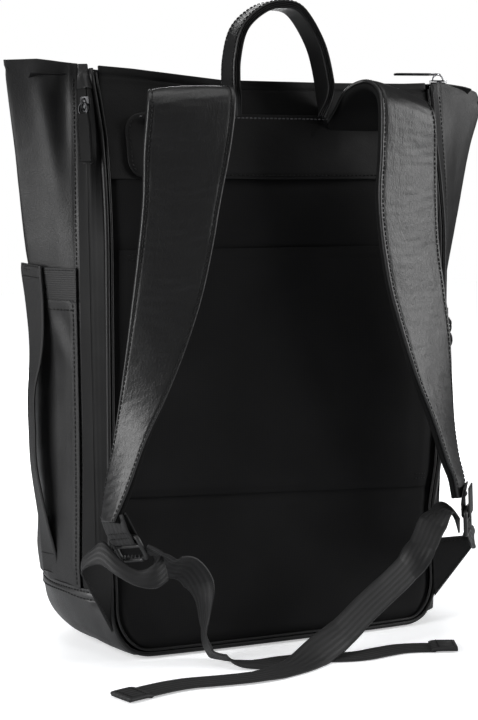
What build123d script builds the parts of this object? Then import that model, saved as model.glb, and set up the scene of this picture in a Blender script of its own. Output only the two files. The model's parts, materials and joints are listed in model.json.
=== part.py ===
from build123d import *
import math
import os

# Leather zip-top backpack, millimetres.  +X is the wearer's right-hand side as seen from behind,
# -Y is the side that lies against the wearer's back, +Z is up.  The origin is on the floor, under
# the middle of the bag.

# ---- driving dimensions ---------------------------------------------------------------------
LEATHER = 2.4           # leather with its lining
GAP = 0.4               # room between sewn pieces
PANEL_FOAM = 7.0        # padded back panel
BACK_Y = -67.0          # plane of the padded back panel
SEAM_LOW_Z = 121.0      # lower edge of the luggage sleeve
SEAM_HIGH_Z = 318.0     # upper edge of the luggage sleeve
YOKE_LOW_Z = 372.0      # lower edge of the leather yoke
YOKE_HIGH_Z = 423.0     # upper edge of the leather yoke
YOKE_HALF = 128.0       # half length of the yoke
BASE_SEAM_Z = 54.0      # seam between the base boot and the walls
TOP_Z = 457.0           # sewn top edge of the walls
CORNER_R = 36.0         # rounded lower corners of the back panel
PIPING_R = 2.4
WEBBING = 25.0          # webbing width
WEBBING_T = 1.6
POCKET_TOP_Z = 277.0    # mouth of the side pocket, under its webbing trim
TRIM_H = 27.0           # height of the webbing trim round the pocket mouth
RIGHT_HEM_Z = 263.0     # hem of the upper right gusset
ZIP_LEAN = 4.5 / 400    # how far the left zip leans towards the front, per mm of height
ZIP_SPREAD = 4.0 / 400  # how far it leans away from the middle, per mm of height

# One row for each level of the bag: z, then the back panel's half width and y, the gusset's rear
# seam (x, y), the gusset's fold (x, y), the bulge of its front half, and the front panel's y.
LEVELS = [
    (0.0, 122.0, -50.0, 132.0, -40.0, 148.0, -2.0, 4.0, 46.0),
    (14.0, 143.0, -66.0, 157.0, -50.0, 168.0, -2.0, 6.0, 60.0),
    (54.0, 146.0, -67.0, 163.0, -48.0, 175.0, -2.0, 8.0, 63.0),
    (200.0, 147.0, -67.0, 163.0, -48.0, 177.0, -5.0, 8.0, 57.0),
    (300.0, 148.0, -67.0, 163.0, -48.0, 191.0, -12.0, 6.0, 43.0),
    (356.0, 148.0, -64.0, 163.5, -46.0, 198.0, -14.0, 4.0, 30.0),
    (405.0, 149.5, -53.0, 165.0, -41.0, 204.5, -17.0, 3.0, 14.0),
    (457.0, 151.0, -38.0, 168.0, -34.0, 213.0, -21.0, 1.0, -5.0),
]
# Outline of the back panel's face in the Y-Z plane, from the bottom to the top edge.
BACK_LINE = [(BACK_Y, 10.0), (BACK_Y, 330.0), (-61.0, YOKE_LOW_Z), (-48.5, YOKE_HIGH_Z), (-38.0, TOP_Z)]


def level(z):
    """The numbers of LEVELS at any height, by straight lines between the rows."""
    for low, high in zip(LEVELS, LEVELS[1:]):
        if z <= high[0]:
            share = (z - low[0]) / (high[0] - low[0])
            return [a + (b - a) * share for a, b in zip(low, high)]
    return list(LEVELS[-1])


def back_y(z):
    """y of the back panel's face at height z."""
    for low, high in zip(BACK_LINE, BACK_LINE[1:]):
        if z <= high[1]:
            return low[0] + (high[0] - low[0]) * (z - low[1]) / (high[1] - low[1])
    return BACK_LINE[-1][0]


def zip_line(z):
    """x and y of the left zip's chain, for the side at positive x."""
    return 155.2 + ZIP_SPREAD * (z - 30.0), -59.6 + ZIP_LEAN * (z - 30.0)


def flat_face(*corners):
    """A flat face with these corners."""
    return Face(Wire.make_polygon([Vector(*corner) for corner in corners], close=True))


def skin(rings):
    """A solid with triangles between rings of points, closed by its first and last ring.

    The second half of each ring is a sheet's other side, and runs back along the first half.  It
    is split along the opposite diagonal, so that a twisted sheet keeps its thickness.
    """
    faces = [flat_face(*rings[0]), flat_face(*rings[-1])]
    half = len(rings[0]) // 2
    for low, high in zip(rings, rings[1:]):
        for i in range(len(low)):
            j = (i + 1) % len(low)
            if i < half:
                faces.append(flat_face(low[i], low[j], high[j]))
                faces.append(flat_face(low[i], high[j], high[i]))
            else:
                faces.append(flat_face(low[i], low[j], high[i]))
                faces.append(flat_face(low[j], high[j], high[i]))
    return Solid(Shell(faces))


def plan_loft(outline, heights):
    """A solid through flat outlines, one at each height."""
    return skin([[(x, y, z) for x, y in outline(z)] for z in heights])


def heights_between(low, high):
    """Ring heights from low to high: both ends, the levels, and the pocket edges, so that a
    pocket's triangles lie along the gusset's."""
    shared = [row[0] for row in LEVELS] + [127.0, RIGHT_HEM_Z, POCKET_TOP_Z, POCKET_TOP_Z + TRIM_H]
    inner = [z for z in sorted(shared) if low + 1 < z < high - 1]
    return [low] + inner + [high]


def back_sheet(low, high, half, lift, thickness):
    """A sheet that follows the back panel's face: lift is how far it stands proud of it."""
    inner = [z for _, z in BACK_LINE if low + 1 < z < high - 1]
    zs = [low] + inner + [high]
    outer = [(back_y(z) - lift, z) for z in zs]
    back = [(back_y(z) - lift + thickness, z) for z in reversed(zs)]
    profile = make_face(Plane.YZ * Polyline(*(outer + back), close=True))
    return extrude(profile, half, both=True)


def rounded_prism(half, low, high, radius):
    """A tall block across y whose outline in the X-Z plane has rounded lower corners."""
    outline = make_face(Plane.XZ * Polyline((-half, low), (half, low), (half, high), (-half, high), close=True))
    block = extrude(outline, 120, both=True)
    return fillet(block.edges().filter_by(Axis.Y).group_by(Axis.Z)[0], radius)


def wall(points, inset):
    """Outline of a thin wall: its outer points, then the same points moved by their insets."""
    inner = [(x + dx, y + dy) for (x, y), (dx, dy) in zip(points, inset)]
    return points + inner[::-1]


def mirrored(outline, side):
    """An outline for the other side of the bag when side is -1."""
    return [(x * side, y) for x, y in outline]


# ---- the bag's walls ------------------------------------------------------------------------
def gusset(side):
    """One leather gusset: rear seam, fold, front half and front seam."""
    def outline(z):
        _, _, _, seam_x, seam_y, fold_x, fold_y, bulge, front_y = level(z)
        outer = [
            (seam_x + 0.5, seam_y + 1.0),
            (fold_x, fold_y),
            ((fold_x + 149.0) / 2 + bulge, (fold_y + front_y) / 2 + bulge * 0.4),
            (149.0, front_y),
        ]
        inset = [(-LEATHER, 0.6), (-1.4 * LEATHER, 0), (-LEATHER, -0.8 * LEATHER), (-0.3 * LEATHER, -LEATHER)]
        return mirrored(wall(outer, inset), side)
    return plan_loft(outline, heights_between(BASE_SEAM_Z + GAP, TOP_Z))


def rear_strip(side):
    """The strip between the piping and the gusset.  On the left it holds the laptop zip."""
    def outline(z):
        half, face_y = level(z)[1], back_y(z)
        seam_x, seam_y = level(z)[3], level(z)[4]
        mid_x, mid_y = zip_line(z)
        outer = [(half + 3.2, face_y + 2.2), (mid_x, mid_y), (seam_x - 0.2, seam_y - 0.2)]
        inset = [(-0.4 * LEATHER, LEATHER), (-0.8 * LEATHER, 0.8 * LEATHER), (-LEATHER, 0.6)]
        return mirrored(wall(outer, inset), side)
    return plan_loft(outline, heights_between(BASE_SEAM_Z + GAP, 449.0))


def front_panel():
    """The front wall, which leans back to meet the top zip."""
    def outline(z):
        front_y = level(z)[8]
        outer = [(-147.8, front_y), (-70, front_y + 5), (70, front_y + 5), (147.8, front_y)]
        return wall(outer, [(0, -LEATHER)] * 4)
    return plan_loft(outline, heights_between(BASE_SEAM_Z + GAP, TOP_Z))


def base_boot():
    """The base: a leather tray with rounded lower edges."""
    def ring(z, inset):
        _, half, face_y, seam_x, seam_y, fold_x, fold_y, bulge, front_y = level(z)
        right = [
            (half + 1.0 - inset, max(face_y, BACK_Y + PANEL_FOAM + 0.6) + inset),
            (seam_x - inset, seam_y + 0.5 * inset),
            (fold_x - inset, fold_y),
            ((fold_x + 149.0) / 2 + bulge - inset, (fold_y + front_y) / 2 - 0.5 * inset),
            (min(half, 149.0) - inset, front_y - inset),
        ]
        return right + [(-x, y) for x, y in reversed(right)]
    heights = [row[0] for row in LEVELS[:3]]
    outer = plan_loft(lambda z: ring(z, 0.0), heights)
    inner = plan_loft(lambda z: ring(max(z - LEATHER, 0.0), LEATHER), [h + LEATHER for h in heights])
    return outer - inner


def base_board():
    """The stiff board that lies in the base."""
    board = Pos(0, -2, LEATHER + 2.2) * Box(232, 84, 3.0)
    return fillet(board.edges().filter_by(Axis.Z), 14)


def back_panel():
    """The padded fabric panel against the wearer's back."""
    sheet = back_sheet(11.0, YOKE_LOW_Z - GAP, 144.0, 0.0, PANEL_FOAM)
    return sheet & rounded_prism(144.4, 12.6, 500, CORNER_R)


def luggage_sleeve():
    """The flat band that slips over a suitcase handle, sewn at its two sides."""
    return back_sheet(SEAM_LOW_Z, SEAM_HIGH_Z, 141.0, 2.0, 1.6)


def top_back_panel():
    """The leather facing above the padded panel."""
    return back_sheet(YOKE_LOW_Z + GAP, TOP_Z, 144.8, 0.0, LEATHER)


def yoke():
    """The leather band that the straps and the handle are sewn under."""
    band = back_sheet(YOKE_LOW_Z, YOKE_HIGH_Z, YOKE_HALF, 2.2, 1.8)
    outline = Plane.XZ * RectangleRounded(2 * YOKE_HALF, YOKE_HIGH_Z - YOKE_LOW_Z, 14)
    mask = extrude(Pos(0, 0, (YOKE_LOW_Z + YOKE_HIGH_Z) / 2) * outline, 120, both=True)
    return band & mask


def piping():
    """The corded edge round the back panel."""
    y_low = BACK_Y - 0.6
    half = 148.0
    points = [
        (150.6, -38.6, TOP_Z - 1.0),
        (half, y_low, 338.0),
        (half - 1.2, y_low, 10.2),
        (1.2 - half, y_low, 10.2),
        (-half, y_low, 338.0),
        (-150.6, -38.6, TOP_Z - 1.0),
    ]
    path = FilletPolyline(*points, radius=[220, CORNER_R + 2, CORNER_R + 2, 220])
    section = Plane(origin=path @ 0, z_dir=path % 0) * Circle(PIPING_R)
    return sweep(section, path=path)


# ---- inside ---------------------------------------------------------------------------------
def back_board():
    """The sheet that keeps the back flat, behind the padding."""
    y = BACK_Y + PANEL_FOAM + 0.8
    board = Pos(0, y + 0.9, 192) * Box(268, 1.8, 264)
    return fillet(board.edges().filter_by(Axis.Y), 30)


def laptop_divider():
    """The padded wall between the laptop compartment and the main compartment."""
    wall_box = Pos(0, -26.0, 190) * Box(264, 5.0, 300)
    return fillet(wall_box.edges().filter_by(Axis.Y), 22)


# ---- top closure ----------------------------------------------------------------------------
ZIP_TOP_Y = -21.5
ZIP_TOP_HALF = 188.0
ZIP_TOP_Z = TOP_Z - 4.0
SLIDER_X = 168.0


def top_zip_tape():
    """Two tapes of the top zip, one each side of the chain."""
    tape = Box(2 * ZIP_TOP_HALF, 1.0, 13.0)
    z = ZIP_TOP_Z - 3.5
    return Compound([Pos(0, ZIP_TOP_Y - 2.2, z) * tape, Pos(0, ZIP_TOP_Y + 2.2, z) * tape])


def top_zip_chain():
    """The closed teeth of the top zip: one tooth block for each link."""
    pitch = 8.0
    count = int((2 * ZIP_TOP_HALF - 16) / pitch)
    core = Pos(0, ZIP_TOP_Y, ZIP_TOP_Z - 1.0) * Box(2 * ZIP_TOP_HALF - 10, 1.6, 3.0)
    tooth = Box(5.0, 3.0, 2.4)
    teeth = [Pos((i - count / 2 + 0.5) * pitch, ZIP_TOP_Y, ZIP_TOP_Z + 1.0) * tooth for i in range(count)]
    return core + teeth


def slider_body(length, width, height):
    """A zip slider: a rounded shield with a bridge for the pull, its base at z = 0."""
    body = Box(length, width, 2.6, align=(Align.CENTER, Align.CENTER, Align.MIN))
    body = fillet(body.edges().filter_by(Axis.Z), 2.2)
    bridge = Pos(0, 0, 2.6) * Box(length * 0.62, 3.0, height - 2.6, align=(Align.CENTER, Align.CENTER, Align.MIN))
    hole = Pos(0, 0, 2.6 + (height - 2.6) * 0.42) * Rot(90, 0, 0) * Cylinder(1.5, 8)
    return body + bridge - hole


def pull_tab(length, width, thickness, eye):
    """A zip pull along -x from its pin at the origin: a pin, two cheeks and a flat tab."""
    pin = Rot(90, 0, 0) * Cylinder(1.0, 8.4)
    cheek = Box(eye, 1.8, thickness, align=(Align.MAX, Align.CENTER, Align.CENTER))
    cheeks = [Pos(1.2, s * 3.4, 0) * cheek for s in (-1, 1)]
    tab = Box(length - eye, width, thickness, align=(Align.MAX, Align.CENTER, Align.CENTER))
    tab = fillet(tab.edges().filter_by(Axis.Z), 2.0)
    return pin + cheeks + Pos(-eye + 1.8, 0, 0) * tab


SLIDER_BASE_Z = ZIP_TOP_Z + 3.2
PULL_PIN_Z = SLIDER_BASE_Z + 2.6 + 0.42 * 4.4


def top_slider():
    return Pos(SLIDER_X, ZIP_TOP_Y, SLIDER_BASE_Z) * slider_body(13, 9, 7.0)


def top_pull():
    return Pos(SLIDER_X, ZIP_TOP_Y, PULL_PIN_Z) * pull_tab(41, 9, 1.8, 9)


# ---- left laptop zip ------------------------------------------------------------------------
LEFT_ZIP_TOP_Z = 428.0
LEFT_ZIP_LOW_Z = 62.0
STRIP_OUT = Vector(-0.785, -0.62, 0)     # the strip's outward direction on the left


def left_zip_plane(z, out):
    """A plane on the left zip: local x up the chain, local z away from the bag."""
    x, y = zip_line(z)
    origin = Vector(-x, y, z) + STRIP_OUT * out
    up = Vector(-ZIP_SPREAD, ZIP_LEAN, 1).normalized()
    normal = (STRIP_OUT - up * STRIP_OUT.dot(up)).normalized()
    return Plane(origin=origin, x_dir=up, z_dir=normal)


def left_zip_chain():
    """The reverse coil under the water-resistant lips: a slim cord along the strip."""
    length = LEFT_ZIP_TOP_Z + 8 - LEFT_ZIP_LOW_Z
    mid = left_zip_plane((LEFT_ZIP_TOP_Z + 8 + LEFT_ZIP_LOW_Z) / 2, 1.0)
    return mid * Box(length, 3.0, 0.8)


def left_slider():
    return left_zip_plane(LEFT_ZIP_TOP_Z, 1.9) * slider_body(12, 8, 6.4)


def left_pull():
    return left_zip_plane(LEFT_ZIP_TOP_Z, 1.9 + 2.6 + 0.42 * 3.8) * pull_tab(38, 9, 1.8, 8)


# ---- right pocket zip -----------------------------------------------------------------------
RIGHT_ZIP_Z = 250.0
RIGHT_ZIP_LOW_Z = 80.0
POCKET_OUT = 5.0        # how far a side pocket stands off the gusset


def right_fold(z):
    """x and y of the right pocket's fold line."""
    row = level(z)
    return row[5] + POCKET_OUT, row[6]


def right_zip_plane(z, out):
    """A plane on the right pocket's zip: local x up the chain, local z away from the bag."""
    high, low = right_fold(RIGHT_ZIP_Z), right_fold(RIGHT_ZIP_LOW_Z)
    share = (z - RIGHT_ZIP_LOW_Z) / (RIGHT_ZIP_Z - RIGHT_ZIP_LOW_Z)
    x = low[0] + (high[0] - low[0]) * share + 2.0
    y = low[1] + (high[1] - low[1]) * share
    up = Vector(high[0] - low[0], high[1] - low[1], RIGHT_ZIP_Z - RIGHT_ZIP_LOW_Z).normalized()
    normal = (Vector(1, 0, 0) - up * up.X).normalized()
    return Plane(origin=Vector(x, y, z) + normal * out, x_dir=up, z_dir=normal)


def right_zip_chain():
    """Tape and coil of the right pocket's zip."""
    mid = right_zip_plane((RIGHT_ZIP_Z + RIGHT_ZIP_LOW_Z) / 2, 0.8)
    return mid * Box(RIGHT_ZIP_Z - RIGHT_ZIP_LOW_Z + 16, 7.0, 1.2)


def right_slider():
    return right_zip_plane(RIGHT_ZIP_Z - 4, 1.8) * slider_body(11, 8, 6.0)


def right_pull():
    """A ring pull: the pin, a ring and a short tab."""
    pin_height = 1.8 + 2.6 + 0.42 * 3.4
    ring = Cylinder(5.4, 1.8) - Cylinder(3.2, 4)
    body = pull_tab(22, 8, 1.8, 7) + Pos(-17, 0, 0) * ring - Pos(-17, 0, 0) * Cylinder(3.2, 4)
    return right_zip_plane(RIGHT_ZIP_Z - 4, pin_height) * body


# ---- side pockets ---------------------------------------------------------------------------
def side_pocket(side, top):
    """A leather pocket sheet that stands off the gusset and is sewn at its edges and base."""
    def outline(z):
        _, _, _, seam_x, seam_y, fold_x, fold_y, bulge, front_y = level(z)
        off = POCKET_OUT * min(1.0, 0.35 + (z - BASE_SEAM_Z) / 60.0)
        outer = [
            (seam_x + 4.8, seam_y + 3.0),
            (fold_x + off, fold_y),
            ((fold_x + 149.0) / 2 + bulge + off, (fold_y + front_y) / 2 + bulge * 0.4 + 0.6 * off),
            (155.0, front_y + 2.0),
        ]
        inset = [(-1.4, 1.2), (-2.0, 0), (-1.4, -1.2), (-0.8, -1.6)]
        return mirrored(wall(outer, inset), side)
    return plan_loft(outline, heights_between(BASE_SEAM_Z + 2, top))


def pocket_trim():
    """The webbing sewn round the mouth of the left pocket."""
    def outline(z):
        _, _, _, seam_x, seam_y, fold_x, fold_y, bulge, front_y = level(z)
        off = POCKET_OUT + 0.3
        outer = [
            (seam_x + 5.0, seam_y + 3.0),
            (fold_x + off, fold_y),
            ((fold_x + 149.0) / 2 + bulge + off, (fold_y + front_y) / 2 + bulge * 0.4 + 0.6 * off),
            (155.0, front_y + 2.0),
        ]
        inset = [(-1.4, 1.2), (-2.0, 0), (-1.4, -1.2), (-0.8, -1.6)]
        return mirrored(wall(outer, inset), -1)
    return plan_loft(outline, heights_between(POCKET_TOP_Z + GAP, POCKET_TOP_Z + TRIM_H))


def side_handle():
    """The webbing grab strap that bows away from the left pocket."""
    stations = [
        ((-198.5, -24.0, 299.0), (-198.5, 1.0, 299.0)),
        ((-199.0, -23.0, 268.0), (-198.5, 2.0, 268.0)),
        ((-197.0, -21.0, 210.0), (-196.5, 4.0, 210.0)),
        ((-192.0, -19.0, 150.0), (-191.5, 6.0, 150.0)),
        ((-186.0, -17.0, 92.0), (-185.5, 8.0, 92.0)),
        ((-182.0, -16.0, 61.0), (-181.5, 9.0, 61.0)),
    ]
    return ribbon(stations, WEBBING_T)


# ---- ribbons: straps, webbing and tabs ------------------------------------------------------
def ribbon(stations, thickness, lift=0.0):
    """A flat strip through pairs of edge points.  lift moves it along its own normal."""
    pairs = [(Vector(*a), Vector(*b)) for a, b in stations]
    middles = [(a + b) * 0.5 for a, b in pairs]
    rings = []
    for i, (a, b) in enumerate(pairs):
        along = middles[min(i + 1, len(pairs) - 1)] - middles[max(i - 1, 0)]
        normal = (b - a).cross(along).normalized()
        low = normal * (lift - thickness / 2)
        high = normal * (lift + thickness / 2)
        rings.append([tuple(corner) for corner in (a + low, b + low, b + high, a + high)])
    return skin(rings)


STRAP_T = 2.0           # leather face
PAD_T = 5.6             # foam and lining behind it

# Outer and inner edge points of each shoulder strap, from the yoke over the fold to its end.
STRAP_LEFT = [
    ((-119.0, -61.0, 400.0), (-58.0, -61.0, 400.0)),
    ((-122.0, -74.0, 423.0), (-60.0, -75.0, 426.0)),
    ((-126.0, -92.0, 437.0), (-63.0, -97.0, 442.0)),
    ((-130.0, -103.0, 424.0), (-65.0, -112.0, 427.0)),
    ((-132.0, -101.0, 390.0), (-67.0, -113.0, 393.0)),
    ((-132.5, -100.0, 356.0), (-74.0, -112.0, 356.0)),
    ((-136.0, -99.0, 319.0), (-81.0, -112.0, 319.0)),
    ((-140.5, -98.0, 282.0), (-90.0, -112.0, 282.0)),
    ((-145.0, -97.0, 246.0), (-103.0, -113.0, 246.0)),
    ((-149.5, -95.0, 209.0), (-118.0, -114.0, 212.0)),
    ((-154.0, -92.0, 172.0), (-136.0, -116.0, 178.0)),
    ((-161.0, -92.0, 140.0), (-150.0, -116.0, 147.0)),
    ((-165.5, -94.0, 115.0), (-155.0, -116.0, 124.0)),
]
STRAP_RIGHT = [
    ((119.0, -61.0, 400.0), (58.0, -61.0, 400.0)),
    ((117.0, -74.0, 425.0), (58.0, -75.0, 431.0)),
    ((114.0, -92.0, 436.0), (56.0, -97.0, 449.0)),
    ((116.0, -103.0, 420.0), (58.0, -113.0, 432.0)),
    ((122.0, -97.0, 390.0), (59.0, -115.0, 395.0)),
    ((124.0, -94.0, 356.0), (58.0, -115.0, 356.0)),
    ((127.0, -92.0, 319.0), (63.0, -114.0, 317.0)),
    ((134.0, -91.0, 282.0), (70.0, -113.0, 284.0)),
    ((140.0, -90.0, 246.0), (82.0, -113.0, 250.0)),
    ((144.5, -90.0, 209.0), (97.0, -114.0, 214.0)),
    ((149.0, -90.0, 172.0), (114.0, -115.0, 178.0)),
    ((153.0, -91.0, 140.0), (130.0, -115.0, 146.0)),
    ((161.0, -94.0, 112.0), (141.0, -115.0, 117.0)),
]


def strap_face(stations, side):
    """The leather outside of a strap."""
    return ribbon(stations, STRAP_T, lift=side * STRAP_T / 2)


def strap_pad(stations, side):
    """The foam and lining behind the leather."""
    return ribbon(stations, PAD_T, lift=-side * (PAD_T / 2 + 0.05))


# A ladder lock's frame stands on each strap's end: centre, down direction, width direction.
LOCK_LEFT = ((-149.0, -105.0, 100.0), (0.46, 0.02, -0.888), (0.42, -0.88, 0.20))
LOCK_RIGHT = ((151.5, -105.0, 92.0), (0.06, 0.02, -0.998), (-0.62, -0.78, -0.053))
LOCK_W = 31.0
LOCK_L = 22.0
LOCK_T = 3.6


def lock_plane(spec):
    """A ladder lock's own plane: local x along its bars, local y up towards the strap."""
    centre, down, across = (Vector(*v) for v in spec)
    up = (down * -1).normalized()
    bar = (across - up * across.dot(up)).normalized()
    return Plane(origin=centre, x_dir=bar, z_dir=bar.cross(up))


def ladder_lock(spec):
    """A moulded frame with three bars and two slots for the webbing."""
    frame = fillet(Box(LOCK_W, LOCK_L, LOCK_T).edges().filter_by(Axis.Z), 2.5)
    slot = Box(LOCK_W - 5.4, 4.6, LOCK_T * 2)
    slots = [Pos(0, y, 0) * slot for y in (5.4, -1.8)]
    lip = Pos(0, -LOCK_L / 2 + 1.4, LOCK_T / 2 + 0.7) * Box(LOCK_W - 8, 2.8, 1.6)
    return lock_plane(spec) * (frame - slots[0] - slots[1] + lip)


def keeper(spec):
    """The short webbing loop that holds the ladder lock to the strap's end."""
    leaf_l = 12.6
    leaf = Box(WEBBING, leaf_l, 1.3)
    height = LOCK_T / 2 + 1.2
    fold = Box(WEBBING, 1.6, 2 * height)
    fold_y = 5.4
    leaf_y = fold_y - 0.8 + leaf_l / 2
    parts = Pos(0, leaf_y, height) * leaf + Pos(0, leaf_y, -height) * leaf + Pos(0, fold_y, 0) * fold
    return lock_plane(spec) * parts


def wing_tab(side):
    """The leather triangle in the side seam that the webbing is sewn to."""
    stations = [
        ((148.5 * side, -71.8, 20.0), (148.5 * side, -71.8, 78.0)),
        ((177.0 * side, -81.0, 75.0), (175.5 * side, -81.0, 84.0)),
    ]
    return ribbon(stations, 2.2)


# Edge points of the short webbing between each wing tab and its ladder lock.
ADJUSTER_LEFT = [
    ((-176.0, -85.0, 88.0), (-172.0, -86.5, 71.0)),
    ((-170.0, -93.0, 96.0), (-160.0, -99.0, 76.0)),
    ((-161.0, -99.0, 100.0), (-147.0, -110.0, 82.0)),
]
ADJUSTER_RIGHT = [
    ((177.0, -85.0, 86.0), (172.0, -86.5, 66.0)),
    ((171.0, -93.0, 88.0), (161.0, -101.0, 68.0)),
    ((163.0, -98.0, 84.0), (148.0, -114.0, 74.0)),
]

# Routes of the two free webbing tails, from the ladder lock to the stitched end on the floor.
TAIL_R = 3.45           # a round bar with the webbing's own section area
TAIL_LEFT = [
    (-136.0, -112.0, 95.0),
    (-126.0, -116.0, 92.0),
    (-117.0, -114.0, 80.0),
    (-102.0, -110.0, 78.0),
    (-90.0, -107.0, 64.0),
    (-85.5, -105.0, 44.0),
    (-86.0, -103.5, 24.0),
    (-82.0, -107.0, 7.0),
    (-72.0, -121.0, 3.5),
    (-52.0, -132.0, 3.5),
    (-28.0, -129.0, 3.5),
    (0.0, -133.0, 3.5),
    (28.0, -144.0, 3.5),
    (54.0, -139.0, 3.5),
    (76.0, -137.0, 3.5),
    (96.0, -146.0, 3.5),
]
TAIL_RIGHT = [
    (146.0, -101.0, 87.0),
    (139.0, -102.0, 100.0),
    (127.0, -106.0, 104.0),
    (114.0, -111.0, 94.0),
    (103.0, -115.0, 76.0),
    (86.0, -120.0, 60.0),
    (64.0, -125.0, 47.0),
    (42.0, -129.0, 34.0),
    (20.0, -135.0, 19.0),
    (-4.0, -142.0, 9.5),
    (-30.0, -153.0, 3.5),
    (-62.0, -162.0, 3.5),
    (-95.0, -159.0, 3.5),
    (-130.0, -153.0, 3.5),
    (-161.0, -163.0, 3.5),
]


def tail(name, points):
    """A free webbing tail: straight runs joined by the largest arcs that they allow."""
    corners = [Vector(*p) for p in points]
    runs = [(b - a).length for a, b in zip(corners, corners[1:])]
    turns = [(b - a).get_angle(c - b) for a, b, c in zip(corners, corners[1:], corners[2:])]
    radii = [0.45 * min(one, two) / math.tan(math.radians(turn) / 2) for one, two, turn in zip(runs, runs[1:], turns)]
    path = FilletPolyline(*corners, radius=radii)
    solid = sweep(Plane(origin=path @ 0, z_dir=path % 0) * Circle(TAIL_R), path=path)
    print(name, "runs", [round(run) for run in runs], "turns", [round(turn) for turn in turns])
    print(name, "radii", [round(radius) for radius in radii])
    print(name, "length", round(path.length, 1), "volume / section x length",
          round(solid.volume / (path.length * math.pi * TAIL_R ** 2), 4))
    return solid


def tail_end(points):
    """The webbing's end, folded back on itself and sewn."""
    last, before = Vector(*points[-1]), Vector(*points[-2])
    along = (last - before).normalized()
    middle = last + along * 9.5
    plane = Plane(origin=(middle.X, middle.Y, 1.9), x_dir=along, z_dir=(0, 0, 1))
    return plane * fillet(Box(18, WEBBING, 3.8).edges().filter_by(Axis.Z), 1.0)


# ---- carry handle ---------------------------------------------------------------------------
HANDLE_HALF = 42.0
HANDLE_T = 6.0
HANDLE_FOOT_Z = 425.0
HANDLE_ARC_Z = 468.0
HANDLE_Y = (-76.0, -50.6)  # the band's two edges; its hinge line lies halfway


def carry_handle():
    """The leather loop: two legs and a half-round top, a band across y."""
    outer = HANDLE_HALF + HANDLE_T / 2
    inner = HANDLE_HALF - HANDLE_T / 2
    depth = HANDLE_Y[1] - HANDLE_Y[0]
    middle = (HANDLE_Y[0] + HANDLE_Y[1]) / 2

    def loop_block(radius):
        leg = Pos(0, middle, (HANDLE_FOOT_Z + HANDLE_ARC_Z) / 2) * Box(2 * radius, depth, HANDLE_ARC_Z - HANDLE_FOOT_Z)
        return leg + Pos(0, middle, HANDLE_ARC_Z) * Rot(90, 0, 0) * Cylinder(radius, depth)

    room = Pos(0, 0, -2) * loop_block(inner)
    return loop_block(outer) - loop_block(inner) - (room & Pos(0, middle, HANDLE_FOOT_Z - 1) * Box(200, 100, 4))


def handle_anchor():
    """Two leather patches that sew the handle's feet to the yoke."""
    lean = math.degrees(math.atan2(12.5, YOKE_HIGH_Z - YOKE_LOW_Z))
    patch = Rot(-lean, 0, 0) * Box(13, 4.0, 16)
    middle_z = YOKE_HIGH_Z - 10
    y = back_y(middle_z) - 2.2 - 2.5
    return Compound([Pos(s * HANDLE_HALF, y, middle_z) * patch for s in (-1, 1)])


# ---- write every piece ----------------------------------------------------------------------
PIECES = {
    "back_panel": back_panel,
    "luggage_sleeve": luggage_sleeve,
    "top_back_panel": top_back_panel,
    "yoke": yoke,
    "piping": piping,
    "front_panel": front_panel,
    "gusset_left": lambda: gusset(-1),
    "gusset_right": lambda: gusset(1),
    "zip_strip_left": lambda: rear_strip(-1),
    "side_strip_right": lambda: rear_strip(1),
    "base_boot": base_boot,
    "base_board": base_board,
    "back_board": back_board,
    "laptop_divider": laptop_divider,
    "top_zip_tape": top_zip_tape,
    "top_zip_chain": top_zip_chain,
    "top_slider": top_slider,
    "top_pull": top_pull,
    "left_zip_chain": left_zip_chain,
    "left_slider": left_slider,
    "left_pull": left_pull,
    "right_zip_chain": right_zip_chain,
    "right_slider": right_slider,
    "right_pull": right_pull,
    "side_pocket_left": lambda: side_pocket(-1, POCKET_TOP_Z),
    "side_pocket_right": lambda: side_pocket(1, RIGHT_HEM_Z),
    "pocket_trim": pocket_trim,
    "side_handle": side_handle,
    "strap_left_face": lambda: strap_face(STRAP_LEFT, -1),
    "strap_left_pad": lambda: strap_pad(STRAP_LEFT, -1),
    "strap_right_face": lambda: strap_face(STRAP_RIGHT, 1),
    "strap_right_pad": lambda: strap_pad(STRAP_RIGHT, 1),
    "keeper_left": lambda: keeper(LOCK_LEFT),
    "keeper_right": lambda: keeper(LOCK_RIGHT),
    "ladder_lock_left": lambda: ladder_lock(LOCK_LEFT),
    "ladder_lock_right": lambda: ladder_lock(LOCK_RIGHT),
    "wing_tab_left": lambda: wing_tab(-1),
    "wing_tab_right": lambda: wing_tab(1),
    "adjuster_left": lambda: ribbon(ADJUSTER_LEFT, WEBBING_T),
    "adjuster_right": lambda: ribbon(ADJUSTER_RIGHT, WEBBING_T),
    "tail_left": lambda: tail("tail_left", TAIL_LEFT),
    "tail_right": lambda: tail("tail_right", TAIL_RIGHT),
    "tail_end_left": lambda: tail_end(TAIL_LEFT),
    "tail_end_right": lambda: tail_end(TAIL_RIGHT),
    "carry_handle": carry_handle,
    "handle_anchor": handle_anchor,
}

os.makedirs("parts", exist_ok=True)
for name, make in PIECES.items():
    export_step(make(), f"parts/{name}.step")
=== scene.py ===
import json
import math
from collections import namedtuple

import bpy
import numpy as np
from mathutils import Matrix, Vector, noise


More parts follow.
